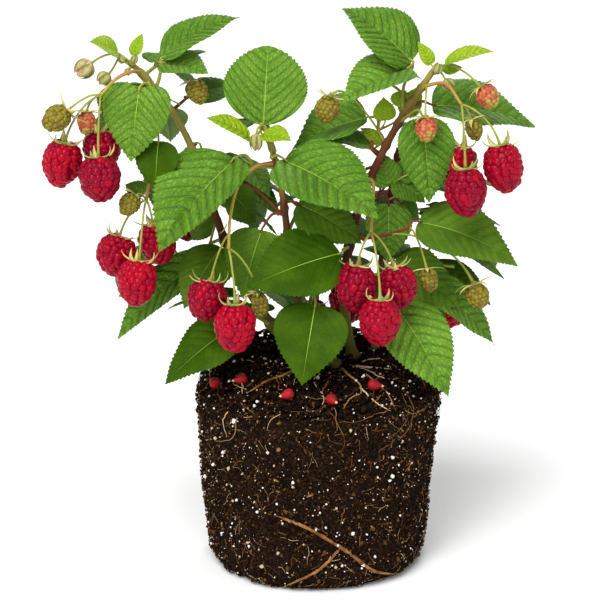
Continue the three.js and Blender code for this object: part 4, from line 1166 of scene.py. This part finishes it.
def lump(angle, height):
    wave = (np.sin(3 * angle + 0.6) + 0.7 * np.sin(5 * angle - height / 21)
            + 0.6 * np.sin(9 * angle + height / 13) + 0.5 * np.sin(14 * angle - height / 9))
    return BALL["lumps"] * wave * 0.6


def mound(x, y):
    """Height added by the soil that is heaped up behind the canes."""
    across = np.clip((64 - np.abs(x)) / 22, 0, 1)
    rim = np.clip((73 - np.hypot(x, y)) / 17, 0, 1)
    return MOUND * np.exp(-(((y - MOUND_BACK) / MOUND_RUN) ** 2)) * across * rim * (3 - 2 * rim) * rim


def profile_at(travelled):
    return np.stack([np.interp(travelled, SOIL_TRAVEL, SOIL_PROFILE[:, k]) for k in (0, 1)])


def soil_point(angle, travelled, lift=0.0):
    """A point of the ball by angle and by distance up its profile, with its normal."""
    r, z = profile_at(travelled)
    dr, dz = profile_at(travelled + 1) - profile_at(travelled - 1)
    out = around(angle, np.array([1.0, 0, 0]), np.array([0, 1.0, 0]))
    normal = unit(out * dz[..., None] - UP * dr[..., None])
    worn = np.clip(r / 30, 0, 1) * np.where(z < 1, 0.4, 1)
    point = out * (r + worn * lump(angle, z))[..., None] + UP * z[..., None]
    point[..., 2] += np.where(travelled > RIM_TRAVEL, mound(point[..., 0], point[..., 1]), 0)
    return point + normal * np.asarray(lift)[..., None], normal


def crumble(p):
    """Height of the crumbs and pits of soil at a point, from -1 to 1."""
    at = Vector(p)
    coarse, fine = noise.noise(at / 9.0), noise.noise(at / 1.7)
    return 0.55 * coarse + 0.9 * (0.5 - noise.voronoi(at / 3.5)[0][0]) + 0.4 * fine


def build_soil():
    """The ball's crumbled surface, a little inside its solid so that crumbs can lie on it."""
    travelled = np.linspace(0.4, SOIL_TRAVEL[-1] - 0.6, SOIL_RINGS)
    travelled, angle = np.meshgrid(travelled, ring_angles(SOIL_SIDES), indexing="ij")
    smooth, normals = soil_point(angle, travelled)
    height = np.array([crumble(p) for p in smooth.reshape(-1, 3)]).reshape(angle.shape)
    ease = np.clip(travelled / 8, 0, 1) * np.clip((SOIL_TRAVEL[-1] - travelled) / 5, 0.2, 1)
    inset = 0.9 + 1.7 * np.clip((travelled - RIM_TRAVEL) / 12, 0, 1)
    points = smooth + normals * ((SOIL_RELIEF * height - inset) * ease)[..., None]
    points[..., 2] = np.maximum(points[..., 2], 0.05)
    points[0, :, 2] = 0
    pile = Pile()
    pile.add_shell(points, [(0, 0, 0), (0, 0, BALL["crown_height"] + mound(0, 0) - 2)])
    dressed(pile, "soil", [SOIL], ["root_ball"])


# Grains: how many, radius, materials, how far they stand out in radii, where up the profile
# they start, and how long and flat they are.
CRUMBS = [
    (3300, 0.75, [0, 0, 1, 1, 2], -0.1, 3, 1.5, 0.75),
    (4900, 0.42, [0, 1, 2, 2, 3], 0.15, 3, 1.5, 0.75),
    (1100, 1.2, [0, 0, 1], 0, RIM_TRAVEL, 1.5, 0.75),
    (300, 0.5, [2, 2, 3, 3], 0.3, 3, 3.6, 0.3),
]
PERLITE = [
    (1300, 0.25, [0, 1, 1], 0.9, 3, 1.2, 0.9),
    (460, 0.62, [0, 0, 1], 0.55, 8, 1.2, 0.9),
    (30, 0.8, [0, 1], 0.4, 30, 1.25, 0.9),
]


def strew_grains(pile, dice, count, size, slots, lift, low, long, flat):
    """Uneven grains over the ball, partly sunk in it."""
    travelled = dice.uniform(low, SOIL_TRAVEL[-1] - 1, count * 2)
    weight = profile_at(travelled)[0] / BALL["rim_radius"]
    travelled = travelled[dice.random(count * 2) < weight][:count]
    count = len(travelled)
    angle = dice.uniform(-math.pi, math.pi, count)
    radius = size * np.exp(dice.normal(0, 0.38, count))
    centres, normals = soil_point(angle, travelled, lift * radius)
    frames = frames_on(unit(normals + dice.normal(0, 0.5, normals.shape)), dice)
    uneven = dice.uniform(0.72, 1.25, (count, len(GRAIN_BALL[0]), 1))
    sizes = uneven * (radius[:, None] * [long, 1, flat])[:, None]
    strew(pile, GRAIN_BALL, sizes, centres, frames, dice.choice(slots, count))


def build_grains(name, materials, layers, dice):
    pile = Pile()
    for layer in layers:
        strew_grains(pile, dice, *layer)
    dressed(pile, name, materials)


def wander(dice, travelled, length, bend, lift):
    """A root's line over the ball from a random side, in short steps."""
    angle = dice.uniform(-math.pi, math.pi)
    travelled = dice.uniform(*travelled)
    way = dice.uniform(0, 6.28)
    line = []
    for _ in range(max(4, int(dice.uniform(*length) / STEP))):
        here, _ = soil_point(np.array(angle), np.array(travelled), lift + dice.uniform(-0.35, 0.6))
        line.append(here)
        way += dice.normal(0, bend)
        angle += STEP * math.cos(way) / 70
        travelled = float(np.clip(travelled + STEP * math.sin(way), 2, SOIL_TRAVEL[-1] - 12))
    return np.array(line)


def top_height(x, y):
    """Height of the soil over a place seen from above."""
    top = SOIL_PROFILE[:5:-1]
    return float(np.interp(math.hypot(x, y), top[:, 0], top[:, 1]) + mound(x, y))


# Roots that lie on the soil: places seen from above, radius and material.
TOP_ROOTS = [
    ([(-14, -24), (-20, -34), (-30, -39), (-42, -46)], 1.1, 1),
    ([(15.5, -19), (19, -32), (26, -44), (26.5, -52)], 0.9, 0),
    ([(26.5, -51), (20, -57), (15.4, -65)], 0.55, 0),
    ([(26, -46), (35.6, -55), (44, -58)], 0.6, 2),
    ([(30, -30), (41.8, -44), (47, -56)], 0.5, 0),
    ([(2, -30), (-2, -44), (4, -58), (1, -70)], 0.4, 2),
    ([(24, -14), (34, -18), (46, -14)], 0.7, 2),
    ([(28, -6), (38, -2), (50, -8)], 0.6, 2),
    ([(-20, 30), (-34, 40), (-44, 52)], 0.9, 1),
    ([(20, 34), (34, 44), (38, 58)], 0.8, 0),
]
# Threads that wander: how many, where they start up the profile, length, bend, lift,
# radius, what is left of it at the end, sides and materials.
THREADS = [
    (420, (6, RIM_TRAVEL + 4), (5, 17), 0.3, 0.3, (0.08, 0.18), 0.4, 4, [0, 0, 1, 1, 2]),
    (46, (RIM_TRAVEL - 4, RIM_TRAVEL + 32), (14, 44), 0.25, 0.9, (0.15, 0.38), 0.35, 5, [0, 1, 1, 2]),
]


def uneven_line(knots, count, dice):
    """A curve through knots, shaken a little between its ends, and its shares."""
    share = np.linspace(0, 1, count)
    line = Through(knots).at(share)
    line[1:-1] += dice.normal(0, 0.12, (count - 2, 3))
    return share, line


def course_knots(course):
    """Places on the side of the ball along a course."""
    foot, rim = BALL["foot_radius"], BALL["rim_radius"]
    for degrees, height, _ in course:
        radius = foot + (rim - foot) * height / BALL["rim_height"] + 0.6 + lump(math.radians(degrees), height)
        yield radius * heading(degrees) + height * UP


def build_roots(dice):
    """Fine roots all round, roots on the top, and the thick root on the front with its branch."""
    pile = Pile()
    for count, start, length, bend, lift, radii, left, sides, slots in THREADS:
        for _ in range(count):
            line = wander(dice, start, length, bend, lift)
            radius = dice.uniform(*radii)
            tube(pile, line, np.linspace(radius, radius * left, len(line)), sides, int(dice.choice(slots)))
    for places, thick, slot in TOP_ROOTS:
        knots = [(x, y, top_height(x, y) + 0.6 * thick + dice.uniform(0, 0.6)) for x, y in places]
        share, line = uneven_line(knots, 30, dice)
        tube(pile, line, thick * (1 - 0.6 * share) * np.clip((1 - share) / 0.1, 0.3, 1), 8, slot)
    for course in ROOT_COURSES:
        share, line = uneven_line(list(course_knots(course)), 60, dice)
        thick = np.interp(share, np.linspace(0, 1, len(course)), [knot[2] for knot in course])
        worn = 0.95 + 0.12 * np.sin(share * 41) + 0.08 * np.sin(share * 97)
        thick *= worn * DRAWN_ROOT * BALL["surface_root"]
        ends = np.clip(share / 0.08, 0.3, 1) * np.clip((1 - share) / 0.12, 0.25, 1)
        tube(pile, line, thick * ends, 10, 1)
    dressed(pile, "roots", ROOT_MATERIALS)


# ---- fallen drupelets ----

# Place seen from above, heading of the pale tip and length of each.
FALLEN = [
    (-62, -22, 105, 8.6), (-46.5, -33, 200, 10), (-18.3, -58, 210, 9.6), (9.5, -63, 300, 10),
    (35.5, -44.5, -15, 10),
]


def build_fallen():
    """Single red drupelets on the soil, each with its pale core end."""
    pile = Pile()
    share = (1 - np.cos(np.linspace(0, np.pi, 18))) / 2
    width = 3.9 * np.sin(np.pi * share**0.62) ** 0.8 * (1 - 0.45 * share) + 0.12
    for x, y, turn, length in FALLEN:
        out = unit(heading(turn) - 0.15 * UP)
        middle = np.array([x, y, top_height(x, y) + 3.2])
        line = middle + (share[:, None] - 0.5) * length * out + UP * (0.6 * share[:, None] ** 2)
        tube(pile, line[:15], width[:15], 14, 0)
        tube(pile, line[13:], width[13:] * 1.02, 14, 1)
    dressed(pile, "fallen_drupelets", FALLEN_MATERIALS)


# ---- materials ----

# Fine reliefs: noise scale per metre, strength and depth.
FAINT = (300, 0.15, 0.0004)
FELT = (500, 0.5, 0.0008)
ROUGH = (900, 0.8, 0.001)
CRUMBLY = (1200, 0.7, 0.0005)
GRAINY = (2500, 0.8, 0.0003)


def node(material, kind, **inputs):
    """A new shader node, with some of its inputs set."""
    item = material.node_tree.nodes.new(f"ShaderNode{kind}")
    for name, value in inputs.items():
        item.inputs[name].default_value = value
    return item


def wire(material, *links):
    """Each link names a node and its output, then a node and its input."""
    for source, output, target, socket in links:
        material.node_tree.links.new(source.outputs[output], target.inputs[socket])


def paint(name, colour, roughness, shine=0.5, relief=FAINT, soft=0.0):
    """A plain base colour with a fine noise relief."""
    material = bpy.data.materials.new(name)
    material.use_nodes = True
    shader = material.node_tree.nodes["Principled BSDF"]
    shader.inputs["Base Color"].default_value = (*colour, 1)
    shader.inputs["Roughness"].default_value = roughness
    shader.inputs["Specular IOR Level"].default_value = shine
    shader.inputs["Subsurface Weight"].default_value = soft
    shader.inputs["Subsurface Scale"].default_value = 0.002
    shader.inputs["Subsurface Radius"].default_value = (1, 0.25, 0.2)
    scale, strength, depth = relief
    place = node(material, "TexCoord")
    grain = node(material, "TexNoise", Scale=scale, Detail=3)
    bump = node(material, "Bump", Strength=strength, Distance=depth)
    wire(material, (place, "Object", grain, "Vector"), (grain, "Fac", bump, "Height"),
         (bump, "Normal", shader, "Normal"))
    return material


def ramp_node(material, stops):
    """A colour ramp through (position, colour or grey) stops."""
    ramp = node(material, "ValToRGB")
    elements = ramp.color_ramp.elements
    while len(elements) < len(stops):
        elements.new(0.5)
    for element, (position, colour) in zip(elements, stops):
        element.position, element.color = position, (*np.broadcast_to(colour, 3), 1)
    return ramp


def mottled(material, other, scale, low=0.4, high=0.65):
    """Lets the base colour drift towards another by a noise in place."""
    shader = material.node_tree.nodes["Principled BSDF"]
    base = tuple(shader.inputs["Base Color"].default_value)[:3]
    place = node(material, "TexCoord")
    cloud = node(material, "TexNoise", Scale=scale, Detail=4)
    ramp = ramp_node(material, [(low, base), (high, other)])
    wire(material, (place, "Object", cloud, "Vector"), (cloud, "Fac", ramp, "Fac"),
         (ramp, "Color", shader, "Base Color"))
    return material


def blend(material, kind, factor, first, second):
    """A mix of two colours; each of them and the factor is a value or a socket."""
    mix = node(material, "Mix")
    mix.data_type, mix.blend_type = "RGBA", kind
    for name, value in (("Factor", factor), ("A", first), ("B", second)):
        if isinstance(value, bpy.types.NodeSocket):
            material.node_tree.links.new(value, mix.inputs[name])
        else:
            mix.inputs[name].default_value = value
    return mix.outputs["Result"]


def blade_paint(name, colour, other, shine, vein, painted_crease_shade, net_share):
    """A leaf's upper face: pale side veins in creases darkened with painted shade, in a wider band on the
    side towards the tip, and a fine net between them whose lines are sunk and darkened with painted shade.
    """
    material = mottled(paint(name, colour, 0.52, shine), other, 55)
    shader, bump = (material.node_tree.nodes[kind] for kind in ("Principled BSDF", "Bump"))
    place, split = node(material, "UVMap"), node(material, "SeparateXYZ")
    place.uv_map = "Grain"
    past_vein = node(material, "Math")
    past_vein.operation = "FRACT"
    # Painted shade: darker in the crease at each side vein, in a wider band on its side towards the tip, as
    # if lit from one side.
    shade = ramp_node(material, [(0, painted_crease_shade), (0.1, 0.4 + 0.6 * painted_crease_shade), (0.34, 1), (0.9, 1), (1, painted_crease_shade)])
    line = ramp_node(material, [(0, 0.5), (0.05, 0), (0.97, 0), (1, 0.5)])
    stretch = node(material, "Mapping", Scale=(0.5, 2.6, 1))
    net = node(material, "TexVoronoi", Scale=1)
    net.feature = "DISTANCE_TO_EDGE"
    # The net's lines are sunk by the bump, and darkened as painted shade.
    net_relief_and_painted_shade = ramp_node(material, [(0, 0.62), (0.22, 1)])
    wire(material, (place, "UV", split, "Vector"), (split, "Y", past_vein, 0),
         (past_vein, "Value", shade, "Fac"), (past_vein, "Value", line, "Fac"),
         (place, "UV", stretch, "Vector"), (stretch, "Vector", net, "Vector"),
         (net, "Distance", net_relief_and_painted_shade, "Fac"), (net_relief_and_painted_shade, "Color", bump, "Height"))
    base = shader.inputs["Base Color"].links[0].from_socket
    # The painted shade of the creases and of the net is multiplied into the mottled green.
    with_painted_shade = blend(material, "MULTIPLY", 1, base, shade.outputs["Color"])
    netted = blend(material, "MULTIPLY", net_share, with_painted_shade, net_relief_and_painted_shade.outputs["Color"])
    veined = blend(material, "MIX", line.outputs["Color"], netted, (*vein, 1))
    material.node_tree.links.new(veined, shader.inputs["Base Color"])
    bump.inputs["Strength"].default_value = 0.6 * net_share
    bump.inputs["Distance"].default_value = 0.002
    return material


def bark_paint(name):
    """Maroon between an olive foot and an olive top. lift moves the top's colours up or down."""
    material = paint(f"bark_{name}", (0.2, 0.15, 0.05), 0.55, 0.15, (700, 0.5, 0.0006))
    shader = material.node_tree.nodes["Principled BSDF"]
    place, split = node(material, "TexCoord"), node(material, "SeparateXYZ")
    cloud = node(material, "TexNoise", Scale=45)
    add = node(material, "Math")
    add.operation = "MULTIPLY_ADD"
    add.inputs[1].default_value = 0.06  # metres of drift
    lift = {"left": -0.04, "centre": -0.05}.get(name, 0)
    ramp = ramp_node(material, [
        (0.185, (0.12, 0.105, 0.015)), (0.225, (0.06, 0.016, 0.008)), (0.285 + lift, (0.11, 0.022, 0.01)),
        (0.305 + lift, (0.17, 0.08, 0.02)), (0.325 + lift, (0.27, 0.23, 0.045)),
    ])
    wire(material, (place, "Object", split, "Vector"), (place, "Object", cloud, "Vector"),
         (cloud, "Fac", add, 0), (split, "Z", add, 2), (add, "Value", ramp, "Fac"),
         (ramp, "Color", shader, "Base Color"))
    return material


# Upper faces by tone: colour, the one it drifts to, shine, colour of the veins, how dark the painted shade in
# their creases is, and the strength of the net, which sets both its relief and its painted shade.
GREENS = {
    "deep": ((0.062, 0.142, 0.006), (0.1, 0.2, 0.01), 0.1, (0.14, 0.26, 0.02), 0.75, 0.4),
    "mid": ((0.093, 0.23, 0.013), (0.14, 0.3, 0.024), 0.12, (0.28, 0.45, 0.06), 0.34, 0.8),
    "fresh": ((0.115, 0.268, 0.017), (0.165, 0.335, 0.03), 0.12, (0.32, 0.5, 0.07), 0.36, 0.8),
    "young": ((0.27, 0.45, 0.01), (0.34, 0.5, 0.015), 0.15, (0.46, 0.62, 0.04), 0.5, 0.7),
    "shade": ((0.027, 0.073, 0.001), (0.05, 0.112, 0.002), 0.04, (0.065, 0.145, 0.004), 0.85, 0.3),
}
LEAF_MATERIALS = [
    *(blade_paint(f"leaf_{tone}", *GREENS[tone]) for tone in LEAF_TONES),
    mottled(paint("leaf_under", (0.15, 0.26, 0.07), 0.7, 0.25), (0.21, 0.33, 0.1), 60),
    paint("leaf_vein", (0.24, 0.39, 0.04), 0.5, 0.3),
    paint("leaf_young_vein", (0.42, 0.56, 0.05), 0.5, 0.3),
]
FRUIT_MATERIALS = [
    paint("crimson", (0.3, 0.001, 0.015), 0.15, 0.11, soft=0.15),
    paint("scarlet", (0.345, 0.001, 0.015), 0.15, 0.11, soft=0.15),
    paint("wine", (0.23, 0.001, 0.016), 0.17, 0.11, soft=0.15),
    paint("olive", (0.22, 0.18, 0.015), 0.45, 0.2),
    paint("olive_brown", (0.17, 0.115, 0.018), 0.5, 0.2),
    paint("coral", (0.52, 0.15, 0.055), 0.42, 0.3),
    paint("rust", (0.42, 0.09, 0.04), 0.45, 0.3),
    paint("blush", (0.4, 0.26, 0.05), 0.45, 0.3),
    paint("bud", (0.42, 0.3, 0.12), 0.6, 0.3, FELT),
    mottled(paint("bloom", (0.7, 0.2, 0.22), 0.6, 0.3, FELT), (0.75, 0.55, 0.35), 300),
    paint("green_bud", (0.3, 0.3, 0.08), 0.6, 0.3, FELT),
]
FALLEN_MATERIALS = [
    mottled(paint("fallen_red", (0.38, 0.008, 0.014), 0.35, 0.15, ROUGH), (0.2, 0.008, 0.014), 200),
    paint("fallen_tip", (0.7, 0.42, 0.2), 0.5),
]
TWIG_MATERIALS = [
    mottled(paint("stem_green", (0.26, 0.27, 0.035), 0.5, 0.2), (0.34, 0.36, 0.055), 90),
    mottled(paint("stem_ochre", (0.4, 0.32, 0.045), 0.5, 0.2), (0.4, 0.18, 0.055), 45),
    mottled(paint("stem_red", (0.12, 0.022, 0.012), 0.5, 0.15), (0.21, 0.055, 0.02), 90),
    paint("bristle", (0.42, 0.36, 0.16), 0.6, 0.3),
]
CALYX_MATERIALS = [
    mottled(paint("sepal_straw", (0.66, 0.55, 0.2), 0.6, 0.25), (0.4, 0.42, 0.1), 160, 0.45, 0.65),
    mottled(paint("sepal_green", (0.3, 0.38, 0.08), 0.6, 0.25), (0.55, 0.36, 0.2), 160, 0.5, 0.7),
    paint("calyx_disc", (0.4, 0.42, 0.08), 0.6, 0.25),
    mottled(paint("clasping_sepal", (0.3, 0.33, 0.08), 0.6, 0.25), (0.45, 0.36, 0.16), 260),
]
SOIL = mottled(paint("soil", (0.008, 0.0045, 0.003), 0.95, 0.03, (1300, 1.0, 0.0016)),
               (0.04, 0.019, 0.009), 650, 0.46, 0.66)
CRUMB_MATERIALS = [
    paint("crumb_dark", (0.008, 0.0045, 0.003), 0.95, 0.03, CRUMBLY),
    paint("crumb_brown", (0.022, 0.01, 0.0045), 0.95, 0.03, CRUMBLY),
    paint("crumb_chip", (0.085, 0.038, 0.014), 0.9, 0.05, CRUMBLY),
    paint("crumb_fibre", (0.24, 0.125, 0.05), 0.9, 0.05, CRUMBLY),
]
PERLITE_MATERIALS = [
    paint("perlite", (0.84, 0.8, 0.72), 0.8, 0.3, GRAINY),
    paint("perlite_stained", (0.55, 0.42, 0.27), 0.8, 0.3, GRAINY),
]
ROOT_MATERIALS = [
    paint("root_tan", (0.3, 0.17, 0.07), 0.7, 0.25),
    mottled(paint("root_brown", (0.13, 0.045, 0.012), 0.65, 0.12, ROUGH), (0.36, 0.17, 0.055), 160),
    paint("root_pale", (0.55, 0.4, 0.22), 0.7, 0.25),
]

# ---- the plant ----

grown = grown_shoots()
for one in PLACED:
    one["leaves"] += INFILL.get(one["name"], [])
dice = np.random.default_rng(SEED)
build_soil()
build_grains("crumbs", CRUMB_MATERIALS, CRUMBS, dice)
build_grains("perlite", PERLITE_MATERIALS, PERLITE, dice)
build_roots(dice)
build_fallen()
for cane_name in CANES:
    cane_mesh(cane_name, PLACED + grown, dice)
half = len(grown) // 2
build_leaves("leaves_front", PLACED, dice)
build_leaves("leaves_rear_left", grown[:half], dice)
build_leaves("leaves_rear_right", grown[half:], dice)
build_fruit("berries_front", PLACED, dice, BUDS)
build_fruit("berries_rear", grown, dice)
build_twigs("stems", PLACED + grown, dice)
build_calyces("calyces", PLACED + grown, dice)

# ---- camera, light and floor, in metres ----

CAMERA_TARGET = Vector((-0.01, 0, 0.165))
CAMERA_ELEVATION = math.radians(15)
CAMERA_DISTANCE = 1.4
FRAME_WIDTH = 0.3672  # across the image at the target
SENSOR_MM = 36
LIGHT_TARGET = Vector((0, 0, 0.18))
FLOOR_REACH = 12


def facing(towards):
    return Vector(towards).to_track_quat("-Z", "Y").to_euler()


def add_camera():
    camera = bpy.data.cameras.new("camera")
    camera.sensor_width = SENSOR_MM
    camera.lens = SENSOR_MM * CAMERA_DISTANCE / FRAME_WIDTH
    camera.clip_end = 50
    back = Vector((0, -math.cos(CAMERA_ELEVATION), math.sin(CAMERA_ELEVATION)))
    turn = (math.pi / 2 - CAMERA_ELEVATION, 0, 0)
    item = add_item("camera", camera, CAMERA_TARGET + back * CAMERA_DISTANCE, turn)
    bpy.context.scene.camera = item


def add_area(name, place, size, power):
    light = bpy.data.lights.new(name, "AREA")
    light.shape, light.size, light.energy = "DISK", size, power
    add_item(name, light, place, facing(LIGHT_TARGET - Vector(place)))


def add_sun(name, towards, strength, spread):
    light = bpy.data.lights.new(name, "SUN")
    light.energy, light.angle = strength, math.radians(spread)
    add_item(name, light, turn=facing(towards))


def add_floor():
    mesh = bpy.data.meshes.new("floor")
    corners = [(x * FLOOR_REACH, y * FLOOR_REACH, 0) for x, y in ((-1, -1), (1, -1), (1, 1), (-1, 1))]
    mesh.from_pydata(corners, [], [(0, 1, 2, 3)])
    mesh.materials.append(paint("floor", (0.9, 0.9, 0.9), 0.9))
    item = add_item("floor", mesh)


def add_world():
    world = bpy.data.worlds.new("studio")
    world.use_nodes = True
    background = world.node_tree.nodes["Background"]
    background.inputs["Color"].default_value = (1, 1, 1, 1)
    background.inputs["Strength"].default_value = 0.45
    bpy.context.scene.world = world
    bpy.context.scene.view_settings.view_transform = "Standard"


add_camera()
add_world()
add_floor()
add_sun("key", (0.26, 0.68, -1), 2.8, 40)
add_area("front", (-0.7, -1.6, 0.9), 0.5, 9)
add_area("fill", (1.5, -1.1, 0.7), 1.0, 5)
add_area("rim", (0.4, 1.6, 1.3), 0.8, 10)
